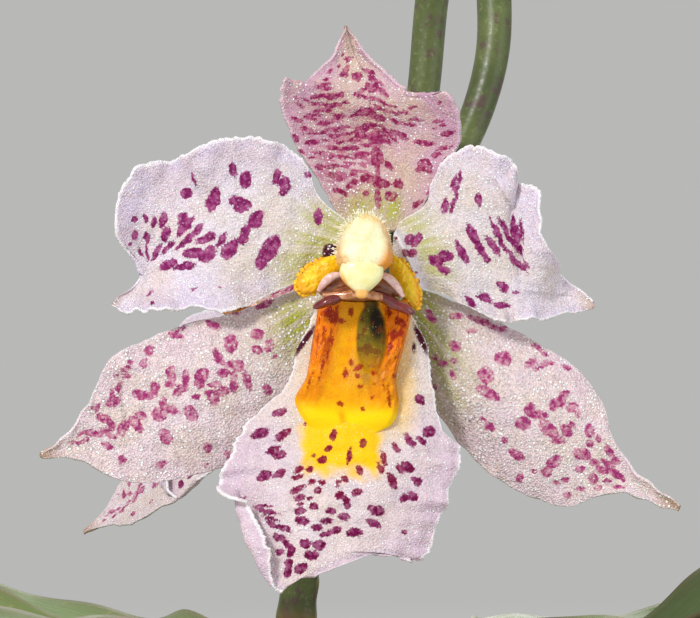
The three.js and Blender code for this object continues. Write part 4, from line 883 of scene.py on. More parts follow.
def callus_material():
    """Waxy tissue: yellow lobes and channel, orange keels with red streaks, and an olive hollow, with painted shade
    deep in the hollow and along the crease between the lobes, and painted pale glints.
    """
    n = Nodes("callus_wax")
    grain = n.noise(5200, 3)
    drift = n.noise(1300, 3)
    cell = n.cells(6200)
    n.start(n.step(drift, 0.3, 0.7), "#efa800", "#e69400")
    n.paint(n.mask("lemon"), "#fdd000")
    # The keel mask also carries painted shade along the crease between the lobes.
    keel = n.times(n.mask("keel"), n.step(drift, 0.15, 0.6, 0.65, 1.0))
    n.paint(keel, "#e27400")
    streak = n.noise(1.0, 4, vector=n.stretched(n.vector("lanes"), (2.6, 0.75, 1)), roughness=0.6)
    streak = n.times(n.step(streak, 0.5, 0.57), n.mask("streak"))
    n.paint(n.times(streak, 0.9), "#8e1602")
    n.paint(n.mask("olive"), n.mix(n.step(drift, 0.3, 0.7), "#5c5518", "#7e6c14"))
    # Painted shade deep in the hollow.
    n.paint(n.mask("dark"), "#1f1a0c")
    patch = n.times(n.step(n.noise(1500, 3), 0.5, 0.57), n.mask("olive"))
    n.paint(n.times(patch, 0.7), "#6a3212")
    edge = n.plus(n.mask("mark"), n.times(n.minus(grain, 0.5), 0.35))
    n.paint(n.step(edge, -0.08, 0.07, 0.92, 0.0), "#9a2108")
    glint = n.step(n.cells(3600), 0.03, 0.15, 0.6, 0.0)
    n.paint(n.times(glint, n.step(n.mask("lemon"), 0.0, 1.0, 1.0, 0.2)), "#ffeaa0")
    height = n.plus(n.times(cell, -0.8), grain)
    height = n.times(height, n.step(n.mask("lemon"), 0.0, 1.0, 1.0, 0.35))
    roughness, normal = n.step(grain, 0.3, 0.7, 0.26, 0.42), n.bump(height, 0.00005, 0.7)
    return n.finish(roughness, normal, **SOFT, Specular_IOR_Level=0.16)


def column_material(name, base, pale, rim, teeth, rough=0.00002):
    """Wax that turns to a warmer colour at its rims, with other tips on its teeth, and painted pale glints."""
    n = Nodes(name)
    grain = n.noise(4200, 3)
    drift = n.noise(1100, 3)
    n.start(n.step(drift, 0.3, 0.7), base, pale)
    n.paint(n.mask("rim"), rim)
    n.paint(n.times(n.mask("tooth"), n.step(grain, 0.3, 0.6, 0.6, 1.0)), teeth)
    # Painted glints: pale specks at the centres of small cells.
    n.paint(n.step(n.cells(3600), 0.02, 0.13, 0.45, 0.0), (1, 1, 0.9, 1))
    height = n.plus(grain, n.times(n.cells(4600), -1.0))
    return n.finish(n.step(grain, 0.3, 0.7, 0.28, 0.42), n.bump(height, rough, 0.7), **SOFT)


def gloss_material(name, base, other, roughness=0.2):
    """Moist, shining tissue of two mingled colours, with painted pale glints."""
    n = Nodes(name)
    grain = n.noise(3000, 4)
    n.start(n.step(grain, 0.35, 0.65), base, other)
    # Painted glints: pale specks at the centres of small cells.
    n.paint(n.step(n.cells(4200), 0.02, 0.12, 0.5, 0.0), "#ffe9dc")
    uneven, normal = n.step(grain, 0.3, 0.7, roughness, roughness + 0.16), n.bump(grain, 0.00003, 0.6)
    return n.finish(uneven, normal, Coat_Weight=0.8)


def leaf_material():
    """Leathery green with fine lengthwise veins, a pale rib, yellow flecks and a dry brown tip."""
    n = Nodes("leaf_leather")
    lanes = n.vector("lanes")
    fibre = n.noise(1.0, 4, vector=n.stretched(lanes, (5.0, 0.12, 1)), roughness=0.6)
    drift = n.noise(70, 5)
    fleck = n.cells(420)
    n.start(n.step(drift, 0.3, 0.7), "#3c5a22", "#567634")
    n.paint(n.step(fibre, 0.35, 0.7, 0.0, 0.45), "#7b944e")
    n.paint(n.times(n.mask("rib"), 0.75), "#8ba05a")
    n.paint(n.times(n.mask("under"), 0.6), "#7e9354")
    n.paint(n.step(fleck, 0.03, 0.16, 0.5, 0.0), "#a9a556")
    n.paint(n.times(n.mask("blush"), n.step(drift, 0.4, 0.6, 0.1, 0.6)), "#6b3a3a")
    dry = n.times(n.mask("dry"), n.step(n.noise(300, 4), 0.3, 0.6, 0.3, 1.0))
    n.paint(dry, "#8a6436")
    height = n.plus(fibre, n.times(n.noise(900, 4), 0.6))
    normal = n.bump(height, 0.00012, 0.6)
    return n.finish(n.step(drift, 0.3, 0.7, 0.32, 0.48), normal, Coat_Weight=0.12, Coat_Roughness=0.3)


def stem_material():
    """Smooth olive green with a waxy bloom and purple flecks, and browner rings at the nodes."""
    n = Nodes("stem_green")
    drift = n.noise(230, 4)
    grain = n.noise(2500, 4)
    n.start(n.step(drift, 0.3, 0.7), "#465128", "#5f6b38")
    n.paint(n.times(n.step(n.noise(900, 4), 0.52, 0.66), 0.6), "#573241")
    n.paint(n.step(grain, 0.55, 0.72, 0.0, 0.35), "#8c9663")
    n.paint(n.mask("dry"), "#9a7f4e")
    return n.finish(n.step(grain, 0.3, 0.7, 0.36, 0.52), n.bump(grain, 0.00005, 0.7))


def bulb_material():
    """Ridged green bulbs, browned towards the foot."""
    n = Nodes("bulb_skin")
    drift = n.noise(170, 4)
    streak = n.noise(1.0, 4, vector=n.stretched(n.place, (1500, 1500, 120)))
    n.start(n.step(drift, 0.3, 0.7), "#5b6a31", "#7a8444")
    n.paint(n.step(streak, 0.45, 0.7, 0.0, 0.6), "#4c4a24")
    n.paint(n.mask("dry"), "#6d5331")
    return n.finish(n.step(drift, 0.3, 0.7, 0.4, 0.6), n.bump(streak, 0.00015, 0.7))


def sheath_material():
    """Dry papery sheaths: straw brown with fine upright fibres and a pale torn rim."""
    n = Nodes("dry_sheath")
    fibre = n.noise(1.0, 5, vector=n.stretched(n.place, (1900, 1900, 160)), roughness=0.65)
    n.start(n.step(fibre, 0.3, 0.7), "#6f5430", "#b39a6b")
    n.paint(n.mask("rim"), "#cdbb93")
    return n.finish(n.step(fibre, 0.3, 0.7, 0.6, 0.85), n.bump(fibre, 0.0002, 0.8))


def root_material():
    """Silvery root coat, mottled with green where it is damp, and a fresh green tip."""
    n = Nodes("root_coat")
    drift = n.noise(260, 5)
    grain = n.noise(3600, 4)
    n.start(n.step(drift, 0.4, 0.7, 0.0, 0.7), "#c9c8b6", "#8f9678")
    n.paint(n.step(grain, 0.4, 0.7, 0.0, 0.35), "#efeee2")
    n.paint(n.times(n.mask("dry"), n.step(drift, 0.3, 0.6)), "#8a7048")
    n.paint(n.mask("tip"), "#8fa64a")
    height = n.plus(grain, n.times(drift, 1.5))
    return n.finish(n.step(n.mask("tip"), 0.0, 1.0, 0.86, 0.4), n.bump(height, 0.00008, 0.8))


def bark_material():
    """Fir bark: red-brown plates with darker seams, grey weathered faces and pale broken edges."""
    n = Nodes("bark_chips")
    own = n.vector("lanes")
    layer = n.noise(1.0, 5, vector=n.stretched(own, (0.22, 0.6, 2.6)), roughness=0.62)
    drift = n.noise(130, 4)
    crack = n.cells(1.0, "DISTANCE_TO_EDGE", n.stretched(own, (0.25, 0.6, 1.0)))
    n.start(n.step(layer, 0.3, 0.7), "#4a2c1b", "#8a5a36")
    n.paint(n.step(drift, 0.4, 0.65, 0.0, 0.55), "#6d5a48")
    n.paint(n.step(n.noise(900, 4), 0.55, 0.7, 0.0, 0.5), "#a8764a")
    n.paint(n.step(crack, 0.0, 0.07, 0.8, 0.0), "#24150d")
    height = n.plus(layer, n.step(crack, 0.0, 0.12, -0.6, 0.0))
    normal = n.bump(height, 0.0005, 0.8, below=n.bump(n.noise(2600, 4), 0.0001, 0.6))
    return n.finish(n.step(layer, 0.3, 0.7, 0.95, 0.75), normal)


def clay_material():
    """Fired clay: warm red with fine sand, turning rings, a lime bloom near foot and rim, and damp stains."""
    n = Nodes("fired_clay")
    sand = n.noise(3000, 4)
    drift = n.noise(38, 5, roughness=0.6)
    rings = n.noise(1.0, 3, vector=n.stretched(n.place, (4, 4, 900)))
    n.start(n.step(drift, 0.3, 0.7), "#b06038", "#c47a50")
    n.paint(n.step(rings, 0.4, 0.7, 0.0, 0.3), "#9c5230")
    bloom = n.times(n.mask("bloom"), n.step(n.noise(95, 6, roughness=0.7), 0.42, 0.62))
    n.paint(n.times(bloom, 0.75), "#dccfbd")
    n.paint(n.step(n.noise(21, 4), 0.55, 0.68, 0.0, 0.35), "#7c4a33")
    n.paint(n.step(n.cells(700), 0.03, 0.12, 0.6, 0.0), "#6e3720")
    n.paint(n.times(n.mask("edge"), 0.35), "#d79a74")
    height = n.plus(n.times(sand, 0.7), n.plus(rings, n.step(n.cells(700), 0.0, 0.12, -1.0, 0.0)))
    return n.finish(n.step(sand, 0.3, 0.7, 0.78, 0.95), n.bump(height, 0.00012, 0.8))


def floor_material():
    """A plain pale floor that meets the pale surroundings without a line far off."""
    n = Nodes("floor_pale")
    length = n.add("ShaderNodeVectorMath", {0: n.place}, operation="LENGTH").outputs["Value"]
    n.start(n.step(n.noise(6, 3), 0.3, 0.7), (0.74, 0.74, 0.73, 1), (0.76, 0.76, 0.75, 1))
    n.finish(0.8, None)
    glow = n.add("ShaderNodeEmission", {"Color": (*WORLD_COLOUR, 1), "Strength": 1.0})
    join = n.add("ShaderNodeMixShader", {0: n.step(length, 0.45, 1.25), 1: n.shader.outputs[0], 2: glow.outputs[0]})
    n.tree.links.new(join.outputs[0], n.tree.nodes["Material Output"].inputs["Surface"])
    return n.material


# ---- The flower's pieces ----
def pose(flower):
    """A function that sets points of the flower's own frame in their place on the plant."""
    turn = np.eye(3)
    if "faces" in flower:
        line = unit(np.array([-24.2, 0, -14.3]))
        front = np.array([0, -1.0, 0])
        own = np.stack([line, front, np.cross(line, front)], axis=1)
        to_front = unit(np.array(flower["faces"], float))
        to_line = np.array(flower["sepal"], float)
        to_line = unit(to_line - to_front * (to_line @ to_front))
        turn = np.stack([to_line, to_front, np.cross(to_line, to_front)], axis=1) @ own.T
    scale, at = flower["scale"], np.array(flower["at"], float)
    return lambda points: points @ turn.T * scale + at


# Each blade: its curves and its paint, how far its margin waves and how ragged it is, how strong its faintest
# spots are, how much lilac it has, and between which distances from the base, in mm, its green ends.
TEPALS = {
    "dorsal_sepal": dict(
        shape=DORSAL_SEPAL, paint="dorsal", wave=0.08, erose=0.3, faint=0.6, blush=0.75, green=(0.2, 0.3),
    ),
    "petal_left": dict(
        shape=PETAL_LEFT, paint="petal", wave=0.16, erose=1.0, faint=0.85, blush=0.6, green=(4.0, 9.5),
    ),
    "petal_right": dict(
        shape=PETAL_RIGHT, paint="petal", wave=0.16, erose=1.0, faint=0.85, blush=0.5, green=(4.0, 8.5),
    ),
    "lateral_sepal_left": dict(
        shape=LATERAL_LEFT, paint="lateral", wave=0.10, erose=0.35, faint=0.5, blush=0.3, green=(2.0, 5.5),
    ),
    "lateral_sepal_right": dict(
        shape=LATERAL_RIGHT, paint="lateral", wave=0.10, erose=0.35, faint=0.5, blush=0.35, green=(2.0, 5.5),
    ),
}
# Dark marks laid like spots: on the left petal a dark maroon blotch with painted shadow over it, and painted shadow
# behind the wing; on the lip, maroon streaks.
STAINS_AND_SHADOWS = {
    "petal_left": [(-2.45, 0.95, 0.62, 0.66, 10), (-2.1, 0.1, 0.35, 0.6, 0)],
    "lip": [(-4.34, -5.72, 1.6, 0.24, 55), (4.3, -5.6, 1.3, 0.25, -66), (3.77, -6.2, 0.16, 0.4, 0)],
}
# Creases: for each, its line as x and z, how far it stands up on its left side, and its reach, in mm.
FOLDS = {
    "petal_left": [
        ([(-12.95, 10.2), (-12.9, 9.0), (-12.8, 7.6), (-12.5, 6.0), (-12.3, 4.8)], 0.8, 2.2),
        ([(-18.8, 1.2), (-16.4, -0.3), (-14.0, 0.4), (-12.0, 1.4)], -0.35, 1.4),
    ],
    "petal_right": [
        ([(12.0, 3.2), (12.4, 1.2), (11.9, -0.7), (11.6, -2.2), (11.7, -3.2)], 0.9, 2.8),
        ([(9.9, 6.6), (10.4, 5.0), (11.2, 3.6)], 0.35, 1.6),
    ],
    "lateral_sepal_right": [([(17.6, -10.2), (18.2, -12.8), (17.0, -15.4)], 0.3, 1.6)],
    "lateral_sepal_left": [([(-18.6, -7.2), (-19.0, -10.5), (-17.5, -13.5)], -0.3, 1.6)],
}
RIDGE = [(1.76, 2.93), (2.81, 1.78), (3.87, -0.51), (4.25, -1.76)]
RIDGE_DOTS = [
    (2.55, 1.9, 0.12, 0.08, 60), (3.55, -0.46, 0.16, 0.14, 0), (3.26, 0.87, 0.26, 0.26, 0),
    (3.55, 1.9, 0.4, 0.36, 60),
]


def shaken(spots, seed, flower):
    """The second flower's spots are shifted and resized a little, so that it isn't a copy of the first."""
    if flower == "flower_1":
        return spots
    vary = random.Random(seed).uniform
    return [
        (x + vary(-0.5, 0.5), z + vary(-0.5, 0.5), length * vary(0.7, 1.2), width * vary(0.8, 1.2), turn + 8)
        for x, z, length, width, turn in spots
    ]


def lifted(place, u, v, wave, seed, erose=1.0):
    """A blade's middle surface with waved, finely uneven margins, and its normals."""
    edge = np.abs(v)
    along = np.stack([u * 40, np.sign(v) * 9.0], axis=-1)
    jagged = 0.008 * ripple(along, 0.9, seed + 1) + 0.006 * ripple(along, 0.5, seed + 5)
    frill = 0.007 * ripple(along, 2.2, seed) + jagged * erose
    v = v * (1 + smooth(0.8, 1, edge) * frill)
    normal = margins(place, u, v)
    points = place(u, v)
    ruffle = wave * edge**4 * smooth(0.03, 0.2, u) * ripple(along, 4.2, seed + 2)
    dimple = 0.05 * ripple(points, 1.6, seed + 3) + 0.12 * ripple(points, 6.0, seed + 4)
    return points + normal * (ruffle + dimple)[..., None], normal


def tepal_piece(flower, name, form, rows, columns, material, move, seed):
    place = blade(form["shape"])
    u, v = grid(rows, columns)
    middle, normal = lifted(place, u, v, form["wave"], seed, form["erose"])
    half = (0.11 + 0.2 * (1 - v**2)) * (1 - 0.4 * smooth(0.85, 1, u))
    x, z = seen(middle)
    rise = sum((fold(x, z, *each) for each in FOLDS.get(name, [])), np.zeros_like(u))
    mark = nearest(*warped(x, z, seed + 5), shaken(SPOTS[name], seed, flower))
    if "lateral" in name:
        mark = mark - 0.05
    stain = nearest(x, z, STAINS_AND_SHADOWS.get(name, []))
    base = np.hypot(x - 0.4, z + 0.6)
    speckle, mottle = 0 * u, 0 * u
    # pale: a painted highlight along the margins, scaled by how ragged they are.
    pale = smooth(0.96, 0.995, np.abs(v)) * form["erose"]
    green = np.maximum(0.9 * (1 - smooth(*form["green"], base)), 0.16 * (1 - smooth(9, 14, base)))
    blush = form["blush"] * (0.35 + 0.65 * smooth(0.25, 0.95, np.abs(v)))
    blush = blush * smooth(2.5, 9, base)
    red = (1 - smooth(3.2, 4.4, base)) * 0.6
    if name == "dorsal_sepal":
        patches = bell(x, z, (-0.5, 4.2), (1.0, 1.0)) + bell(x, z, (2.1, 4.2), (0.9, 1.2))
        green = 0.95 * patches + 0.25 * bell(x, z, (0.8, 4.5), (3, 2))
        red = 0.35 * (1 - smooth(6.0, 10.0, z))
        mottle = bell(x, z, (-1.0, 7.6), (2.7, 2.4)) + 0.7 * bell(x, z, (1.0, 10.4), (1.0, 1.6))
        mottle = mottle + 0.5 * bell(x, z, (-2.2, 11.2), (2.0, 1.4))
        crest = np.exp(-((v / 0.05) ** 2)) * smooth(0.82, 0.93, u)
        rise = rise + 0.22 * crest
        # A painted highlight along the crest near the tip.
        pale = np.maximum(pale, crest)
        rise = rise + 0.12 * np.exp(-((v / 0.07) ** 2)) * smooth(0.1, 0.3, u)
    if name == "petal_right":
        off, _ = from_line(x, z, RIDGE)
        ridge = np.exp(-((off / 0.3) ** 2))
        rise = rise + 1.0 * ridge
        # A painted highlight along the raised ridge.
        pale = np.maximum(pale, 0.8 * ridge)
        green = green * (1 - np.exp(-((off / 0.9) ** 2)))
        mark = np.minimum(mark, nearest(x, z, RIDGE_DOTS))
        blush = np.maximum(blush, 0.5 * np.exp(-((off / 0.9) ** 2)))
    if name == "lateral_sepal_right":
        speckle = bell(x, z, (8.4, -12.6), (3.4, 4.2))
        off, along = from_line(x, z, [(3.4, -1.6), (5.2, -5.2), (6.4, -9.8)])
        green = np.maximum(green, 1.2 * np.exp(-((off / 2.1) ** 2)) * (1 - 0.5 * along))
    if name == "lateral_sepal_left":
        green = np.maximum(green, 1.15 * bell(x + 0.35 * (z + 5.5), z, (-4.5, -5.2), (2.2, 3.6)))
    middle = middle + normal * rise[..., None]
    front = middle + normal * half[..., None]
    keel = 0.1 * np.exp(-((v / 0.06) ** 2)) * smooth(1, 0.6, u)
    back = middle - normal * half[..., None] - normal * keel[..., None]
    tan = 0.75 * smooth(0.9, 0.99, u) if "lateral" in name else 0.5 * smooth(0.92, 1.0, u)
    split = np.concatenate([np.ones(u.size), np.full(u.size, 0.22)])
    lanes = fibres(v * 8 + seed, u * 25)
    masks = dict(
        mark=both(mark), stain=both(stain), green=both(np.clip(green, 0, 1)), blush=both(np.clip(blush, 0, 1)),
        tan=both(tan), red=both(red), gold=both(0 * u), speckle=both(speckle),
        mottle=both(np.clip(mottle, 0, 1)) * split, faint=both(np.full_like(u, form["faint"])), pale=both(pale),
        front=split,
    )
    points = layers(front, back)
    return make(
        f"{flower}_{name}", move(points), shell_faces(rows, columns), [material], "tepal", masks=masks,
        vectors=lanes, replaces=[f"{flower}_{name}"],
    )


def lip_piece(flower, rows, columns, material, move, seed):
    place = blade(LIP)
    u, v = grid(rows, columns)
    edge = np.abs(v)
    along = np.stack([u * 40, np.sign(v) * 9.0], axis=-1)
    crenate = 0.008 * ripple(along, 0.8, seed) + 0.006 * ripple(along, 0.5, seed + 5)
    crenate = crenate + 0.010 * ripple(along, 2.4, seed + 1)
    w = v * (1 + smooth(0.8, 1, edge) * crenate)
    normal = margins(place, u, w)
    points = place(u, w)
    flatness = 1 - smooth(0.5, 0.6, w) * smooth(0.45, 0.6, u)
    ruffle = 0.3 * edge**4 * smooth(0.3, 0.6, u) * ripple(along, 3.2, seed + 2) * flatness
    dimple = 0.06 * ripple(points, 1.5, seed + 3) + 0.12 * ripple(points, 5.0, seed + 4) * flatness
    middle = points + normal * (ruffle + dimple)[..., None]
    half = 0.12 + 0.2 * (1 - v**2)
    x, z = seen(middle)
    wander = 0.35 * ripple(np.stack([x, z], axis=-1), 1.8, seed + 8)
    gold = smooth(-16.6, -14.8, z + wander) * (1 - smooth(2.5, 3.4, np.abs(x + 1.6) + 0.5 * wander))
    cream = smooth(-15.5, -10, z) * (1 - smooth(3.4, 5.6, np.abs(x + 0.9)))
    gold = gold * (1 - smooth(-12.0, -10.0, z))
    beside = 0.5 * (x > 0) * (1 - smooth(3.0, 4.5, x)) + 0.1 * (x < 0) * (1 - smooth(4.4, 6.2, -x))
    gold = np.maximum(gold, beside * smooth(-14.0, -10.5, z))
    red = 0.85 * (1 - smooth(2.6, 5.5, np.abs(x + 1.6))) * smooth(-19.0, -14.4, z)
    blush = 0.75 * (0.3 + 0.7 * smooth(0.3, 0.95, edge)) * smooth(9, 14, -z)
    green = (0.2 + 0.25 * (x > 0)) * cream + 0.1 * smooth(-9, -4, z)
    mark = nearest(*warped(x, z, seed + 5, 0.8), shaken(SPOTS["lip"], seed, flower))
    masks = dict(
        mark=both(mark), stain=both(nearest(x, z, STAINS_AND_SHADOWS["lip"])), faint=both(0 * u + 0.85), green=both(green),
        # pale: a painted highlight along the margins.
        pale=both(smooth(0.96, 0.995, edge)), blush=both(blush), red=both(red),
        gold=np.concatenate([gold.ravel(), 0.2 * gold.ravel()]),
        front=np.concatenate([np.ones(u.size), np.full(u.size, 0.12)]),
    )
    lanes = fibres(v * 10 + seed, u * 25)
    parts = Parts()
    front, back = middle + normal * half[..., None], middle - normal * half[..., None]
    shell = layers(front, back)
    parts.add(shell, shell_faces(rows, columns), masks, lanes)
    ribbed = lambda t, a: 1 + 0.05 * np.sin(9 * a) + 0.03 * np.sin(40 * t)
    spur, faces, t = tube(SPUR, taper(SPUR_RADII), 70, 24, ribbed)
    parts.add(spur, faces, dict(mark=9.0, stain=9.0, green=0.35 + 0.4 * t, blush=0.3, front=1.0), dict(lanes=spur))
    return parts.make(f"{flower}_lip", [material], "lip", move=move, replaces=[f"{flower}_lip"])


def callus_rise(s, c):
    """The callus's height over the lip: two keels beside a channel, two round lobes, and a long fall to its foot."""
    edge = np.abs(c)
    keels = 0.5 + 0.5 * smooth(0.3, 0.72, edge) * (1 - 0.5 * smooth(0.5, 0.75, s))
    channel = 1 - 0.75 * np.exp(-((c - 0.1) ** 2) / 0.08) * (1 - smooth(0.1, 0.7, s))
    lobes = 1 - 0.3 * smooth(0.55, 0.75, s) + 0.35 * np.exp(-((s - 0.76) ** 2) / 0.01) * smooth(0.04, 0.4, edge)
    valley = 1 - 0.5 * np.exp(-((c / 0.12) ** 2)) * smooth(0.7, 0.85, s)
    side = 1 - 0.75 * smooth(0.84, 1, edge) ** 2
    lobes = lobes * (1 - 0.42 * smooth(0.5, 0.76, s))
    return 1.35 * keels * channel * lobes * valley * side * (1 - smooth(0.74, 0.98, s)) - 0.14 * smooth(0.8, 1, s)


def callus_piece(flower, rows, columns, material, move, seed):
    lip = blade({**LIP, "curl": None})
    s, c = grid(rows, columns)
    edges = [spline([(x, 0, z) for x, z in CALLUS_EDGES[side]], s) for side in ("right", "left")]
    target = edges[0] + (edges[1] - edges[0]) * ((c + 1) / 2)[..., None]
    u, v = np.full_like(s, 0.3), np.zeros_like(s)
    # Find by halving, in turn, the u and v at which the lip passes under each place of the callus's outline.
    for _ in range(5):
        for variable in "uv":
            low, high = np.full_like(s, 0.0 if variable == "u" else -1.0), np.ones_like(s)
            for _ in range(20):
                middle = (low + high) / 2
                if variable == "u":
                    short = lip(middle, v)[..., 2] > target[..., 2]
                else:
                    short = lip(u, middle)[..., 0] > target[..., 0]
                low, high = np.where(short, middle, low), np.where(short, high, middle)
            if variable == "u":
                u = (low + high) / 2
            else:
                v = (low + high) / 2
    base, normal = lip(u, v), normals(lip, u, v)
    x, z = seen(base)
    at = np.stack([x, z], axis=-1)
    keel = smooth(0.36, 0.55, np.abs(c - 0.05)) * (1 - smooth(0.62, 0.76, s))
    knobs = (0.07 * ripple(at, 1.1, seed) + 0.07 * ripple(at, 0.38, seed + 1) * smooth(0.5, 0.8, np.abs(c))) * keel
    arch = np.hypot((x - 0.55) / 1.12, (z + 5.6) / 2.95)
    hollow = (1 - smooth(0.62, 1.02, arch)) * smooth(-9.2, -7.2, z)
    rise = (callus_rise(s, c) + knobs * smooth(1.0, 0.85, np.abs(c))) * (1 - 0.85 * hollow)
    rise = np.where(s < 0.7, np.maximum(rise, 0.3), rise)
    base[..., 2] += np.maximum(0, target[..., 2] - base[..., 2])
    front = base + normal * (0.3 + rise)[..., None]
    back = base + normal * 0.04
    x, z = seen(front)
    deep = (1 - smooth(0.84, 1.0, arch)) * smooth(-9.5, -5.5, z)
    below = np.exp(-(((x - 0.3) / 1.1) ** 2)) * smooth(-10.5, -7.5, z) * (1 - smooth(-7.5, -5.5, z))
    olive = np.maximum(deep, 0.55 * below)
    # dark: painted shade deep in the hollow.
    dark = (1 - smooth(0.4, 1.0, np.hypot((x - 1.05) / 0.85, (z + 4.2) / 2.1))) * deep
    lemon = smooth(0.62, 0.8, s)
    # A painted shade along the crease between the lobes, laid on in the keels' orange.
    crease_shade = np.exp(-(((c - 0.12) / 0.07) ** 2)) * smooth(0.7, 0.78, s)
    lanes = fibres(c * 4 + seed, s * 10)
    paint = np.maximum(keel * (1 - 0.6 * smooth(0.3, 0.6, s)), 0.6 * crease_shade)
    masks = dict(
        keel=both(paint), olive=both(olive), dark=both(dark), lemon=both(lemon),
        streak=both(keel * smooth(0.72, 0.1, s)), mark=both(nearest(x, z, shaken(SPOTS["callus"], seed, flower))),
    )
    points = layers(front, back)
    name, faces = f"{flower}_lip_callus", shell_faces(rows, columns)
    return make(name, move(points), faces, [material], "callus", masks=masks, vectors=lanes, replaces=[name])


def add_teeth(parts, line, outward, count, length, radius, draw, which=0, bent=0.4, lean=0.35, rim=0.5):
    """Teeth along a line of points, leaning outwards and bent at random."""
    for i in range(count):
        t = (i + draw.uniform(0.1, 0.9)) / count
        base = spline(line, np.array([t]))[0]
        out = np.array(outward(t, base), float)
        sway = np.array([draw.uniform(-1, 1), draw.uniform(-1, 0.4), draw.uniform(-1, 1)])
        long, wide = length * draw.uniform(0.55, 1.25) + 0.15, radius * draw.uniform(0.75, 1.25)
        points, faces, along = spike(base - unit(out) * 0.15, out + sway * lean, long, wide, bend=sway * bent)
        parts.add(points, faces, dict(rim=rim * (1 - along), tooth=smooth(0.35, 0.8, along)), which=which)


def add_knobs(parts, line, outward, count, radius, draw, which=0):
    """Round warts along a line of points, darker at their far ends."""
    for i in range(count):
        t = (i + draw.uniform(0.1, 0.9)) / count
        out = unit(np.array(outward(t, spline(line, np.array([t]))[0]), float))
        size = radius * draw.uniform(0.65, 1.25)
        jitter = np.array([draw.uniform(-1, 1), draw.uniform(-1, 0.3), draw.uniform(-1, 1)]) * 0.06
        base = spline(line, np.array([t]))[0] + jitter
        points, faces = ball((0, 0, 0), (size, size, size), around=10, rings=6)
        along = points @ out / size
        points = points + out * (0.35 * size * (along > 0) * along)[:, None]
        tooth = smooth(0.45, 0.9, along) * draw.choice([0.2, 1.0])
        parts.add(points + base, faces, dict(rim=0.3, tooth=tooth), which=which)


def column_piece(flower, fine, material, move):
    draw = random.Random(11)
    parts = Parts()
    shaft, faces, t = tube([(0.5, 2.3, 0.8), (0.5, -1.2, 0.8), (0.3, -4.6, 1.0)], taper([1.0, 1.05, 1.3]), 20, 28)
    parts.add(shaft, faces, dict(rim=0.3))
    foot, faces = ball((0.3, -0.7, -1.2), (1.25, 0.7, 1.35))
    parts.add(foot, faces, dict(rim=0.6))
    (cx, cy, cz), (rx, ry, rz) = HOOD["centre"], HOOD["radii"]

    def egg(points):
        z = points[:, 2:3]
        narrow = 1.04 - 0.15 * smooth(-0.2, 0.5, z) + 0.27 * smooth(-0.1, -0.7, z)
        flat = np.sign(points[:, 1:2]) * np.abs(points[:, 1:2]) ** 0.7
        forward = 2.5 * smooth(0.85, -0.45, z) * smooth(0.1, -0.6, points[:, 1:2])
        return np.hstack([points[:, :1] * narrow + 0.06 * smooth(0, 1, z), flat - forward, z])

    hood, faces = ball((cx, cy, cz), (rx, ry, rz), around=72 * fine // 2 + 8, rings=48 * fine // 2 + 6, shape=egg)
    away = np.hypot((hood[:, 0] - cx) / rx, (hood[:, 2] - cz) / rz)
    hood = hood + (0.03 * ripple(hood, 1.4, 3) + 0.045 * ripple(hood, 0.42, 4) * smooth(0.6, 0.9, away))[:, None]
    side = smooth(0.6, 1.0, away) * (0.35 + 0.3 * (hood[:, 0] > cx) + 0.35 * smooth(2.2, 0.2, hood[:, 2]))
    parts.add(hood, faces, dict(rim=np.clip(side, 0, 1)))
    around = []
    for a in np.radians(np.linspace(-35, 215, 60)):
        narrow = 1.04 - 0.15 * float(smooth(-0.2, 0.5, math.sin(a)))
        around.append((cx + rx * 0.95 * math.cos(a) * narrow, cy - 0.3, cz + rz * 0.96 * math.sin(a)))
    outward = lambda t, base: (base[0] - cx, -0.35, (base[2] - cz) * 0.8)
    add_teeth(parts, around[:20], outward, 28 * fine // 2, 0.28, 0.12, draw, rim=0.7)
    add_teeth(parts, around[19:], outward, 56 * fine // 2, 0.3, 0.12, draw, rim=0.15)
    low = [(x * 0.97, cy - 0.2, z) for x, _, z in around[32:58]]
    add_teeth(parts, low, lambda t, base: (-1, -0.6, 0.35), 15 * fine // 2, 0.62, 0.11, draw, bent=0.6, rim=0.1)
    return parts.make(f"{flower}_column", [material], "column", move=move, replaces=[f"{flower}_column"])


def anther_piece(flower, fine, material, move):
    (cx, cy, cz), radii = ANTHER["centre"], ANTHER["radii"]

    def cap(points):
        z = points[:, 2:3]
        narrow = 0.95 - 0.34 * smooth(-0.1, -1.0, z) ** 1.5 + 0.06 * smooth(0.0, 0.9, z)
        flat = np.sign(points[:, 1:2]) * np.abs(points[:, 1:2]) ** 0.65
        return np.hstack([points[:, :1] * narrow, flat, np.where(z > 0, z * 0.58, z)])

    parts = Parts()
    sizes = (radii[0], radii[1] * 0.9, radii[2])
    points, faces = ball((cx - 0.12, cy + 0.25, cz), sizes, around=36 * fine, rings=24 * fine, shape=cap)
    points = points + 0.02 * ripple(points, 1.3, 8)[:, None]
    out = np.hypot((points[:, 0] - cx) / (radii[0] * 0.9), (points[:, 2] - cz) / radii[2])
    parts.add(points, faces, dict(rim=0.9 * smooth(0.86, 1.0, out) * smooth(-0.4, -1.2, points[:, 2])))
    block = lambda p: np.sign(p) * np.abs(p) ** 0.75
    at, sizes = (cx - 0.12, cy - 0.1, cz - 1.62), (0.47, 0.42, 0.42)
    points, faces = ball(at, sizes, around=14 * fine, rings=9 * fine, shape=block)
    parts.add(points, faces, dict(rim=0.75))
    name = f"{flower}_anther_cap"
    return parts.make(name, [material], "column", move=move, replaces=[name])


# Each wing's warts at its margin and behind it, on the near flower, and the seed of their draws.
WARTS = {"left": (26, 16, 29), "right": (30, 18, 31)}


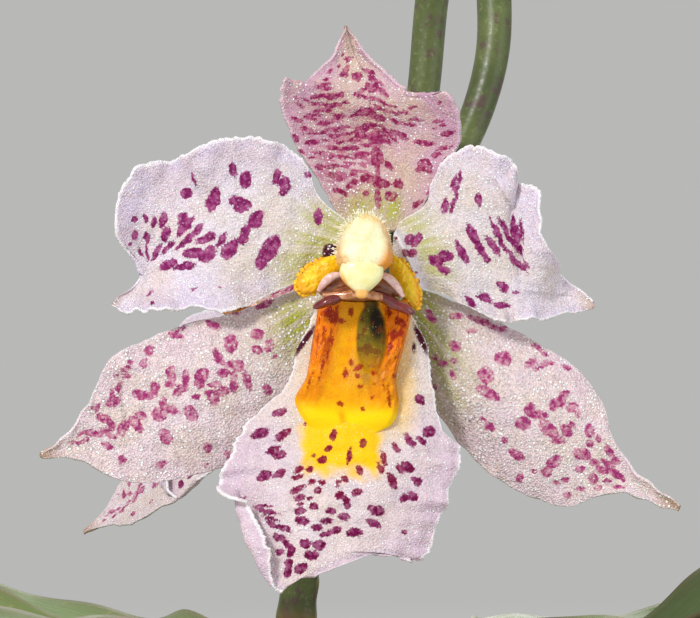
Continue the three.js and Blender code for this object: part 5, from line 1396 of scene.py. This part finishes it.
def wing_piece(flower, side, outline, fine, material, move):
    draw = random.Random(WARTS[side][2])
    rows, columns = 44 * fine, 12 * fine
    s, t = grid(rows, columns, low=0.0)
    line = [(x, -2.7, z) for x, z in outline]
    outer = spline(line, s)
    inner = np.array(line[0]) + (np.array(line[-1]) - np.array(line[0])) * s[..., None]
    along = np.stack([s * 30, 0 * s], axis=-1)
    ragged = 0.08 * ripple(along, 1.2, 5) * np.sin(math.pi * s) ** 0.5
    out = unit(outer - inner) * (ragged * t**4)[..., None]
    middle = inner + (outer - inner) * t[..., None] + out
    middle[..., 1] += -0.55 * np.sin(math.pi * t * 0.85) * np.sin(math.pi * s) + 0.05 * ripple(middle, 1.0, 7)
    middle[..., 1] += 0.05 * ripple(np.stack([middle[..., 0], middle[..., 2]], axis=-1), 0.6, 9) * smooth(0.2, 0.6, t)
    half = (0.3 - 0.21 * t**1.5) * (0.3 + 0.7 * np.sin(math.pi * np.clip(s, 0.05, 0.95)))
    shift = np.zeros_like(middle)
    shift[..., 1] = -half
    flip = side == "right"
    front, back = middle + shift, middle - shift
    points = layers(front, back)
    faces = [f[::-1] for f in shell_faces(rows, columns)] if flip else shell_faces(rows, columns)
    parts = Parts()
    rim = smooth(0.75, 1.0, t)
    parts.add(points, faces, dict(rim=both(rim)))
    middle_point = np.array([np.mean([p[0] for p in outline]), -2.7, np.mean([p[1] for p in outline])])
    outward = lambda w, base: (base[0] - middle_point[0], -0.25, base[2] - middle_point[2])
    add_knobs(parts, line[1:-1], outward, WARTS[side][0] * fine // 2, 0.19, draw)
    near = [tuple(np.array([x, y - 0.3, z]) * 0.82 + middle_point * 0.18) for x, y, z in line[1:-1]]
    add_knobs(parts, near, outward, WARTS[side][1] * fine // 2, 0.16, draw)
    name = f"{flower}_column_wing_{side}"
    return parts.make(name, [material], "column_wing", move=move, replaces=[name])


# The stigma's folds: two pale arcs over a brown hollow, a tan band below, and two dark shining lobes.
ARCS = [
    [(-3.3, -4.5, -1.95), (-2.85, -4.75, -1.35), (-2.3, -4.9, -0.9), (-1.6, -4.95, -0.7)],
    [(1.0, -4.95, -0.7), (1.75, -4.9, -0.95), (2.4, -4.75, -1.55), (2.95, -4.5, -2.4)],
]
# Each shoulder and lobe: its centre, its radii, and its turn about Y in degrees.
SHOULDERS = [((-1.75, -4.1, -1.45), (1.4, 0.45, 0.5), -22), ((1.75, -4.1, -1.55), (1.35, 0.45, 0.6), 30)]
LOBES = [((-2.3, -4.5, -2.62), (1.5, 0.55, 0.42), -22), ((2.25, -4.5, -2.85), (1.75, 0.55, 0.45), 28)]
BAND = [(-3.0, -4.4, -2.25), (-1.6, -4.75, -2.3), (-0.2, -4.85, -2.15), (1.2, -4.75, -2.4), (2.6, -4.4, -2.75)]


def stigma_piece(flower, fine, materials, move):
    parts = Parts()
    points, faces = ball(STIGMA["centre"], STIGMA["radii"], around=30 * fine, rings=16 * fine)
    points[:, 1] += 0.35 * np.exp(-((points[:, 0] + 0.25) / 2.2) ** 2) * (points[:, 1] < -4.1)
    parts.add(points, faces, which=0)
    for centre, radii, turn in SHOULDERS:
        points, faces = ball(centre, radii, (0, turn, 0), around=24 * fine, rings=12 * fine)
        parts.add(points, faces, which=0)
    for arc in ARCS:
        points, faces, _ = tube(arc, lambda t: 0.1 + 0.22 * np.sin(math.pi * np.clip(t, 0.05, 0.95)) ** 0.7, 40, 14)
        parts.add(points, faces, which=1)
    points, faces, _ = tube(BAND, lambda t: 0.1 + 0.24 * np.sin(math.pi * np.clip(t, 0.05, 0.95)) ** 0.6, 50, 16)
    parts.add(points, faces, which=2)
    for centre, radii, turn in LOBES:
        points, faces = ball(centre, radii, (0, turn, 0), around=24 * fine, rings=14 * fine)
        parts.add(points + 0.03 * ripple(points, 0.9, 4)[:, None], faces, which=3)
    return parts.make(f"{flower}_stigma", materials, "stigma", move=move, replaces=[f"{flower}_stigma"])


def flower_pieces(flower, place, fine, tepals, wax):
    """All the pieces of one flower; fine is 2 for the near flower and 1 for the far one."""
    move = pose(place)
    own = 300 * (fine == 1)
    for i, (name, form) in enumerate(TEPALS.items()):
        rows = 54 + 50 * fine if form["erose"] == 1 else 72 * fine
        tepal_piece(flower, name, form, rows + 1, 46 * fine + 1, tepals[form["paint"]], move, 100 + 10 * i + own)
    lip_piece(flower, 50 + 65 * fine + 1, 56 * fine + 1, tepals["lip"], move, 171 + own)
    callus_piece(flower, 54 * fine + 1, 40 * fine + 1, wax["callus"], move, 31)
    column_piece(flower, fine, wax["column"], move)
    anther_piece(flower, fine, wax["anther"], move)
    for side, outline in (("left", WING_LEFT), ("right", WING_RIGHT)):
        wing_piece(flower, side, outline, fine, wax["wing"], move)
    stigma_piece(flower, fine, wax["stigma"], move)


# ---- Pot and bark ----
POT = dict(height=72.0, base=27.0, rim=41.0, band=59.0, step=2.6, wall=4.0, drain=3.6, ring=15.0)
POT_SIDES, POT_STEP = 150, 1.9
BARK_TOP, BARK_SIDES = 61.3, 120
# The large chips are those of the solids. They lie lower in the bed of the rhizome, which has a centre and a reach.
BIG_CHIPS, BIG_SIZE, GOLDEN_ANGLE = 28, (15, 10, 3.4), 2.39996
SMALL_CHIPS = 230
BED_AT, BED_REACH = (-1, 1.6), (14, 8)


def body_radius(z):
    return POT["base"] + (POT["rim"] - POT["step"] - POT["base"]) * z / POT["band"]


def lathe(profile, sides, wobble=0.0, seed=0):
    """A closed body turned about the Z axis from a profile that starts and ends on the axis side."""
    rings = len(profile)
    angle = np.linspace(0, 2 * math.pi, sides, endpoint=False)
    radius = np.array([r for r, _ in profile])[:, None] * np.ones(sides)
    height = np.array([z for _, z in profile])[:, None] * np.ones(sides)
    points = np.stack([radius * np.cos(angle), radius * np.sin(angle), height], axis=-1)
    if wobble:
        push = wobble * ripple(points, 14.0, seed)
        points[..., 0] += push * np.cos(angle)
        points[..., 1] += push * np.sin(angle)
    return points.reshape(-1, 3), tube_faces(rings, sides)


def rounded(corners, steps):
    """A profile through corners with their sharpness eased by short arcs."""
    points, radii = [np.array(c[:2], float) for c in corners], [c[2] for c in corners]
    out = [points[0]]
    for i in range(1, len(points) - 1):
        before, after = unit(points[i - 1] - points[i]), unit(points[i + 1] - points[i])
        start, end = points[i] + before * radii[i], points[i] + after * radii[i]
        for t in np.linspace(0, 1, steps):
            out.append((1 - t) ** 2 * start + 2 * t * (1 - t) * points[i] + t * t * end)
    out.append(points[-1])
    return [tuple(p) for p in out]


def densify(profile, longest):
    out = [profile[0]]
    for a, b in zip(profile, profile[1:]):
        count = max(1, math.ceil(math.dist(a, b) / longest))
        out += [tuple(np.array(a) + (np.array(b) - np.array(a)) * k / count) for k in range(1, count + 1)]
    return out


def pot_piece(material):
    high, rim, band, base = POT["height"], POT["rim"], POT["band"], POT["base"]
    inner = lambda z: body_radius(z) - POT["wall"]
    corners = [
        (0.01, 0.35, 0), (base - 5.5, 0.35, 0.3), (base - 4.6, 0.0, 0.3), (base, 0.0, 0.8),
        (body_radius(band - 1.2), band - 1.2, 0.5), (body_radius(band), band - 0.2, 0.5), (rim - 0.25, band, 0.7),
        (rim, high - 6, 0.4), (rim, high, 1.2),
        (inner(band) + 1.5, high, 1.3), (inner(band), band, 1.0), (inner(5), 5.0, 1.2), (0.01, 5.0, 0),
    ]
    profile = densify(rounded(corners, 5), POT_STEP)
    points, faces = lathe(profile, POT_SIDES, wobble=0.10, seed=2)
    points[:, 2] = np.clip(points[:, 2], 0, None)
    outside = np.hypot(points[:, 0], points[:, 1])
    bloom = np.clip(smooth(16, 0, points[:, 2]) * 0.8 + smooth(57, 70, points[:, 2]) * 0.55 + 0.12, 0, 1)
    edge = smooth(70.6, 71.9, points[:, 2]) * smooth(36, 39, outside)
    masks = dict(bloom=bloom, edge=edge)
    piece = make("clay_pot", points, faces, [material], "terracotta", masks=masks, replaces=["pot"])
    cutter = bpy.data.meshes.new("drains")
    body = bmesh.new()
    for i in range(4):
        angle = (i + 0.5) * math.pi / 2
        made = bmesh.ops.create_cone(
            body, cap_ends=True, segments=40, radius1=POT["drain"] * MM, radius2=POT["drain"] * MM, depth=0.014,
        )
        centre = Vector((POT["ring"] * math.cos(angle), POT["ring"] * math.sin(angle), 2.5)) * MM
        bmesh.ops.translate(body, verts=made["verts"], vec=centre)
    body.to_mesh(cutter)
    body.free()
    tool = bpy.data.objects.new("drains", cutter)
    bpy.context.scene.collection.objects.link(tool)
    cut = piece.modifiers.new("drains", "BOOLEAN")
    cut.operation, cut.object, cut.solver = "DIFFERENCE", tool, "EXACT"
    bpy.context.view_layer.update()
    done = bpy.data.meshes.new_from_object(piece.evaluated_get(bpy.context.evaluated_depsgraph_get()))
    piece.modifiers.clear()
    piece.data = done
    bpy.data.objects.remove(tool)
    return piece


def drawn(seed):
    """The same draws, in the same order, as the bark of the solids."""
    state = seed
    while True:
        state = (state * 16807) % 2147483647
        yield state / 2147483647


def slab(cuts):
    """Unit points and faces of a box split evenly into small faces."""
    body = bmesh.new()
    bmesh.ops.create_cube(body, size=1.0)
    bmesh.ops.subdivide_edges(body, edges=body.edges[:], cuts=cuts, use_grid_fill=True)
    points = np.array([v.co[:] for v in body.verts])
    faces = [tuple(v.index for v in f.verts) for f in body.faces]
    body.free()
    return points, faces


def chip(unit_points, size, skew, turns, centre, seed):
    """A piece of bark: a tapered slab with broken edges and uneven layers."""
    points = unit_points * size
    taper_side = points[:, 0] > 0
    points[taper_side, 1] *= skew
    corner = np.linalg.norm(unit_points * 2, axis=1)
    points = points * (1 - 0.10 * smooth(1.25, 1.7, corner))[:, None]
    rng = np.random.default_rng(seed)
    shift = rng.uniform(-50, 50, 3)
    rough = np.array([noise.noise_vector(Vector(p * 0.28 + shift)) for p in points])
    fine = np.array([noise.noise_vector(Vector(p * 1.1 + shift)) for p in points])
    steps = np.round(rough[:, 2:3] * 3) / 3
    points = points + rough * (size[0] * 0.05, size[1] * 0.07, 0.25) + fine * (0.25, 0.25, 0.12)
    points[:, 2:3] += steps * 0.35 * np.sign(unit_points[:, 2:3])
    lanes = points + shift
    about_z, about_y, about_x = ((0, 0, turns[2]), (0, turns[1], 0), (turns[0], 0, 0))
    matrix = np.array(Euler(about_z).to_matrix() @ Euler(about_y).to_matrix() @ Euler(about_x).to_matrix())
    return points @ matrix.T + np.asarray(centre), lanes


def bark_piece(material):
    parts = Parts()
    inner = lambda z: body_radius(z) - POT["wall"] - 0.35
    side = [(inner(5) - 1, 5.0), (inner(6), 6.4), (inner(30), 30.0), (inner(59), 59.0), (inner(59), 60.4)]
    top = [(inner(59) * k / 26, 60.9) for k in range(25, 0, -1)] + [(0.01, 60.9)]
    points, faces = lathe([(0.01, 5.0), (8.0, 5.0), (16.0, 5.0)] + side + top, BARK_SIDES)
    lift = (points[:, 2] > 60) * (0.45 * ripple(points, 5.0, 4) + 0.25 * ripple(points, 1.8, 5))
    points[:, 2] += lift
    parts.add(points, faces, vectors=dict(lanes=points))
    values = drawn(20261)
    between = lambda low, high: low + (high - low) * next(values)
    limit = inner(BARK_TOP) - 0.3
    big, big_faces = slab(7)
    for i in range(BIG_CHIPS):
        size = np.array([s * between(0.6, 1.15) for s in BIG_SIZE])
        skew = between(0.65, 0.95)
        turns = (between(-0.25, 0.25), between(-0.22, 0.22), between(0, math.pi))
        reach = (limit - math.hypot(size[0], size[1]) / 2 - 0.4) * math.sqrt((i + 0.5) / BIG_CHIPS)
        angle = i * GOLDEN_ANGLE + between(-0.2, 0.2)
        centre = (reach * math.cos(angle), reach * math.sin(angle), BARK_TOP + between(-0.6, 0.9))
        if math.hypot((centre[0] - BED_AT[0]) / BED_REACH[0], (centre[1] - BED_AT[1]) / BED_REACH[1]) < 1:
            centre = (*centre[:2], BARK_TOP - 1.2)
        points, lanes = chip(big, size, skew, turns, centre, 500 + i)
        parts.add(points, big_faces, vectors=dict(lanes=lanes))
    draw = random.Random(77)
    small, small_faces = slab(3)
    for i in range(SMALL_CHIPS):
        size = np.array([draw.uniform(2.6, 8), draw.uniform(1.8, 5), draw.uniform(0.8, 2.0)])
        reach = (limit - size[0] / 2) * math.sqrt(draw.random())
        angle = draw.uniform(0, 2 * math.pi)
        centre = (reach * math.cos(angle), reach * math.sin(angle), BARK_TOP + draw.uniform(-0.5, 1.3))
        turns = (draw.uniform(-0.6, 0.6), draw.uniform(-0.5, 0.5), draw.uniform(0, math.pi))
        points, lanes = chip(small, size, draw.uniform(0.6, 1), turns, centre, 900 + i)
        parts.add(points, small_faces, vectors=dict(lanes=lanes))
    return parts.make("bark_chips", [material], "bark", replaces=["bark_medium"])


# ---- Growths, leaves, roots and stalks ----
# How wide a leaf is along its rib, how steeply in degrees it is folded at its base and further on, and the
# rows and columns of its mesh. The other meshes' counts follow: rings and sides, or columns and rows.
LEAF_PROFILE = [0.13, 0.3, 0.62, 0.9, 1, 0.98, 0.84, 0.54, 0.1]
STEEP, SHALLOW = 46, 14
LEAF_GRID = (96, 37)
ROOT_MESH, STALK_MESH = (220, 18), (300, 22)
SHEATH_GRID, BRACT_GRID = (22, 15), (21, 22)


def leaf_shape(rib, width):
    """The margins and rib of a leaf that is folded along its rib."""
    even = spread(rib, len(LEAF_PROFILE))
    middle = spline(rib, even)
    along = unit(spline(rib, np.clip(even + 0.001, 0, 1)) - spline(rib, np.clip(even - 0.001, 0, 1)))
    side = unit(np.stack([-along[:, 1], along[:, 0], 0 * along[:, 0]], axis=1))
    up = unit(np.cross(along, side))
    half = (width / 2 * np.array(LEAF_PROFILE))[:, None]
    fold = np.radians(STEEP + (SHALLOW - STEEP) * smooth(0, 0.6, np.linspace(0, 1, len(LEAF_PROFILE))))[:, None]
    out, lift = side * half * np.cos(fold), up * half * np.sin(fold)
    return {"left": middle + out + lift, "rib": middle, "right": middle - out + lift}


def leaf_piece(index, growth, material):
    (rows, columns), seed = LEAF_GRID, 40 + index
    place = blade(leaf_shape(growth["rib"], growth["width"]))
    u, v = grid(rows, columns)
    normal = margins(place, u, v)
    along = np.stack([u * 60, np.sign(v) * 9], axis=-1)
    wave = 0.45 * np.abs(v) ** 3 * ripple(along, 16, seed) + 0.25 * ripple(place(u, v), 14, seed + 1)
    crease = -0.35 * np.exp(-((v / 0.07) ** 2)) * smooth(0.02, 0.1, u) * (1 - smooth(0.85, 1, u))
    veins = 0.03 * np.sin(v * 60) * (1 - np.abs(v)) ** 0.3
    middle = place(u, v) - normal * (wave * smooth(0.05, 0.3, u))[..., None]
    half = (0.72 - 0.42 * v**2) * (0.75 + 0.25 * (1 - smooth(0.8, 1, u)))
    upper = middle - normal * (half + crease + veins)[..., None]
    keel = 0.35 * np.exp(-((v / 0.09) ** 2)) * (1 - smooth(0.7, 1, u))
    lower = middle + normal * (half + keel)[..., None]
    rib = np.exp(-((v / 0.05) ** 2)) * (1 - smooth(0.85, 1, u))
    dry = smooth(0.965, 1.0, u + 0.01 * ripple(along, 3, seed + 2)) + 0.4 * smooth(0.985, 1, np.abs(v))
    lanes = fibres(v * growth["width"] / 2 + 30 * index, u * 66)
    masks = dict(
        rib=both(rib), dry=both(np.clip(dry, 0, 1)), blush=both(smooth(0.75, 1.0, np.abs(v)) * 0.5),
        under=np.concatenate([np.ones(u.size), np.zeros(u.size)]),
    )
    points = layers(lower, upper)
    return make(
        f"leaf_blade_{index + 1}", points, shell_faces(rows, columns), [material], "leaf", masks=masks,
        vectors=lanes, replaces=[f"leaf_{index + 1}"],
    )


def growth_pieces(bulb_skin, papery):
    parts = Parts()
    ringed = lambda t, a: 1 + 0.05 * np.maximum(0, np.sin(t * 90)) ** 6 + 0.03 * np.sin(5 * a + 20 * t)
    points, faces, t = tube(RHIZOME, taper([1.9, 2.2, 2.2, 1.8]), 120, 28, ringed)
    parts.add(points, faces, dict(dry=0.8))
    draw = random.Random(5)
    for i, growth in enumerate(GROWTHS):
        x, y = growth["at"]
        lean = unit(np.array([growth["rib"][0][0] - x, growth["rib"][0][1] - y]))
        path = [(x, y, 61.9), (x, y, 67), (x + lean[0] * 0.8, y + lean[1] * 0.8, 72.6)]
        ridges = lambda t, a, p=i: 1 + 0.055 * np.sin(7 * a + p) * np.sin(math.pi * np.clip(t, 0, 1)) ** 0.5
        points, faces, t = tube(path, taper(BULB["radii"]), 30, 32, ridges)
        parts.add(points, faces, dict(dry=np.clip(1 - t * 1.6, 0, 1) * 0.9 + 0.3 * smooth(0.9, 1, t)))
        link = [(x * 0.75, y * 0.2 + 1, 63.6), (x, y, 64.6)]
        points, faces, t = tube(link, taper([1.7, 2.0]), 16, 24, ringed)
        parts.add(points, faces, dict(dry=0.8))
        for k in range(3):
            middle = math.atan2(-lean[1], -lean[0]) + (k - 1) * 1.9 + draw.uniform(-0.3, 0.3)
            tall = draw.uniform(5.0, 7.5) if k == 1 else draw.uniform(3.0, 5.0)
            a, h = sheet(*SHEATH_GRID)
            torn = 0.08 * ripple(a[..., None] * 8, 1.0, 70 + 3 * i + k)
            height = 62.2 + tall * h * (1 - 0.75 * np.abs(a) ** 2.2 + torn)
            t = np.clip((height - 61.9) / 10.7, 0, 1)
            reach = np.interp(t, np.linspace(0, 1, 5), BULB["radii"]) + 0.18 + 0.1 * k + 0.35 * h**3
            reach = reach + 0.08 * ripple(np.stack([a * 6, h * 5], axis=-1), 2.2, 90 + k)
            turn = middle + a * 1.35 * (1 - 0.45 * h)
            stack = lambda r: np.stack([x + r * np.cos(turn), y + r * np.sin(turn), height], axis=-1)
            rim = smooth(0.82, 1.0, h)
            points = layers(stack(reach), stack(reach - 0.12))
            parts.add(points, shell_faces(*SHEATH_GRID), dict(rim=both(rim)), which=1)
    return parts.make("rhizome_and_bulbs", [bulb_skin, papery], "pseudobulb", replaces=["rhizome_and_pseudobulbs"])


def root_piece(index, root, material):
    radius = taper([root["radius"], root["radius"], root["radius"] * 0.95, root["radius"] * 0.8])
    last = index == len(ROOTS) - 1
    rounded_end = lambda t: radius(t) * (np.sqrt(np.clip((1.0008 - t) / 0.02, 0.01, 1)) if last else 1.0)
    bends = lambda t, a: 0.05 * np.sin(31 * t + 2 * a + index) + 0.04 * np.sin(83 * t - a)
    uneven = lambda t, a: 1 + bends(t, a) + 0.02 * np.sin(7 * a + 200 * t)
    points, faces, t = tube(root["path"], rounded_end, *ROOT_MESH, uneven)
    points = points + 0.03 * ripple(points, 1.2, index)[:, None]
    tip = smooth(0.93, 0.97, t) * last
    dry = 0.5 * (1 - smooth(0.0, 0.12, t))
    name, masks = f"aerial_root_{index + 1}", dict(tip=tip, dry=dry)
    return make(name, points, faces, [material], "root", masks=masks, replaces=[f"root_{index + 1}"])


def stalk_piece(index, stalk, material):
    path = stalk["path"]
    nodes = stalk["bracts"]

    def swell(t, a):
        total = 1 + 0.02 * np.sin(9 * a + 8 * t)
        for node in nodes:
            total = total + 0.12 * np.exp(-(((t - node) / 0.008) ** 2))
        return total

    points, faces, t = tube(path, taper(stalk["radii"]), *STALK_MESH, swell)
    ring = sum(np.exp(-(((t - n) / 0.006) ** 2)) for n in nodes)
    parts = Parts()
    parts.add(points, faces, dict(dry=np.clip(0.5 * ring, 0, 1)))
    line = spline(path, spread(path, 400))
    for i, node in enumerate(nodes):
        k = int(node * 399)
        along = unit(line[k + 1] - line[k - 1])
        out = unit(np.cross((1.0 if i % 2 else -1.0, 0.4, 0), along))
        across = np.cross(along, out)
        a, h = sheet(*BRACT_GRID)
        radius = 1.42 + 0.5 * h**1.5
        width = 1.9 * (1 - h**1.6) + 0.05
        angle = a * width
        centre = line[k] + along * (h * 5.0)[..., None]
        stack = lambda r: centre + out * (r * np.cos(angle))[..., None] + across * (r * np.sin(angle))[..., None]
        points = layers(stack(radius), stack(radius - 0.22 + 0.1 * h))
        dry = np.clip(0.35 + 0.65 * h, 0, 1)
        parts.add(points, shell_faces(*BRACT_GRID), dict(dry=both(dry)))
    return parts.make(f"flower_stalk_{index}", [material], "stalk", replaces=[f"stalk_{index}"])


# ---- The scene ----
def surroundings():
    camera = bpy.data.cameras.new("camera")
    camera.lens, camera.sensor_width, camera.clip_start, camera.clip_end = CAMERA_LENS, 36, 0.01, 50
    holder = bpy.data.objects.new("camera", camera)
    holder.location, holder.rotation_euler = CAMERA_AT, (math.radians(90), 0, 0)
    bpy.context.scene.collection.objects.link(holder)
    bpy.context.scene.camera = holder
    world = bpy.data.worlds.new("pale")
    world.use_nodes = True
    world.node_tree.nodes["Background"].inputs["Color"].default_value = (*WORLD_COLOUR, 1)
    bpy.context.scene.world = world
    for i, (at, target, size, power, colour) in enumerate(LAMPS):
        lamp = bpy.data.lights.new(f"lamp_{i}", "AREA")
        lamp.size, lamp.energy, lamp.color = size, power, colour
        item = bpy.data.objects.new(f"lamp_{i}", lamp)
        item.location = at
        item.rotation_euler = (Vector(target) - Vector(at)).to_track_quat("-Z", "Y").to_euler()
        bpy.context.scene.collection.objects.link(item)
    rings, sides = 40, 96
    reach = FLOOR_RADIUS * (np.arange(1, rings + 1) / rings) ** 2
    angle = np.linspace(0, 2 * math.pi, sides, endpoint=False)
    points = [(0, 0, 0)] + [(r * math.cos(a), r * math.sin(a), 0) for r in reach for a in angle]
    faces = [(0, 1 + j, 1 + (j + 1) % sides) for j in range(sides)]
    for i in range(rings - 1):
        for j in range(sides):
            a, b = 1 + i * sides + j, 1 + i * sides + (j + 1) % sides
            faces.append((a, a + sides, b + sides, b))
    mesh = bpy.data.meshes.new("floor")
    mesh.from_pydata(points, [], faces)
    mesh.materials.append(floor_material())
    floor = bpy.data.objects.new("floor", mesh)
    floor.location.z = -0.0002
    bpy.context.scene.collection.objects.link(floor)


surroundings()
tepals = {
    "petal": petal_material("petal_tissue", "#eee6f0", "#eadcd4", "#cdbde2", "#94046e", "#740052", 0.5),
    "dorsal": petal_material("dorsal_tissue", "#dcbfc2", "#dcc8a8", "#c088b2", "#a01864", "#840a50", 0.4),
    "lateral": petal_material("lateral_tissue", "#f0dfe6", "#ecdcd2", "#e0bcd4", "#b8487e", "#98286c", 1.0),
    "lip": petal_material("lip_tissue", "#e6dadd", "#e6d7cf", "#d0b6d0", "#86005e", "#640038", 0.3, gold="#fcc200"),
}
brown = gloss_material("stigma_hollow", "#a05a28", "#743814")
wax = {
    "callus": callus_material(),
    "column": column_material("column_wax", "#e4e0ac", "#ecefcc", "#e8962a", "#faf0d4", 0.00006),
    "anther": column_material("anther_wax", "#e8e29c", "#f2eebc", "#ee9c28", "#e0b860"),
    "wing": column_material("wing_wax", "#ffbe00", "#ffd61a", "#f7a800", "#6a1408", 0.00008),
    "stigma": [
        brown,
        gloss_material("stigma_arcs", "#dba79c", "#ecccc8", 0.25),
        gloss_material("stigma_band", "#d8a077", "#a4602c", 0.22),
        gloss_material("stigma_lobes", "#5e0e1a", "#7c2216", 0.08),
    ],
}
flower_pieces("flower_1", FLOWER_1, 2, tepals, wax)
flower_pieces("flower_2", FLOWER_2, 1, tepals, wax)
pot_piece(clay_material())
bark_piece(bark_material())
growth_pieces(bulb_material(), sheath_material())
leather, coat, green = leaf_material(), root_material(), stem_material()
for index, growth in enumerate(GROWTHS):
    leaf_piece(index, growth, leather)
for index, root in enumerate(ROOTS):
    root_piece(index, root, coat)
for index, stalk in enumerate((STALK_1, STALK_2), 1):
    stalk_piece(index, stalk, green)
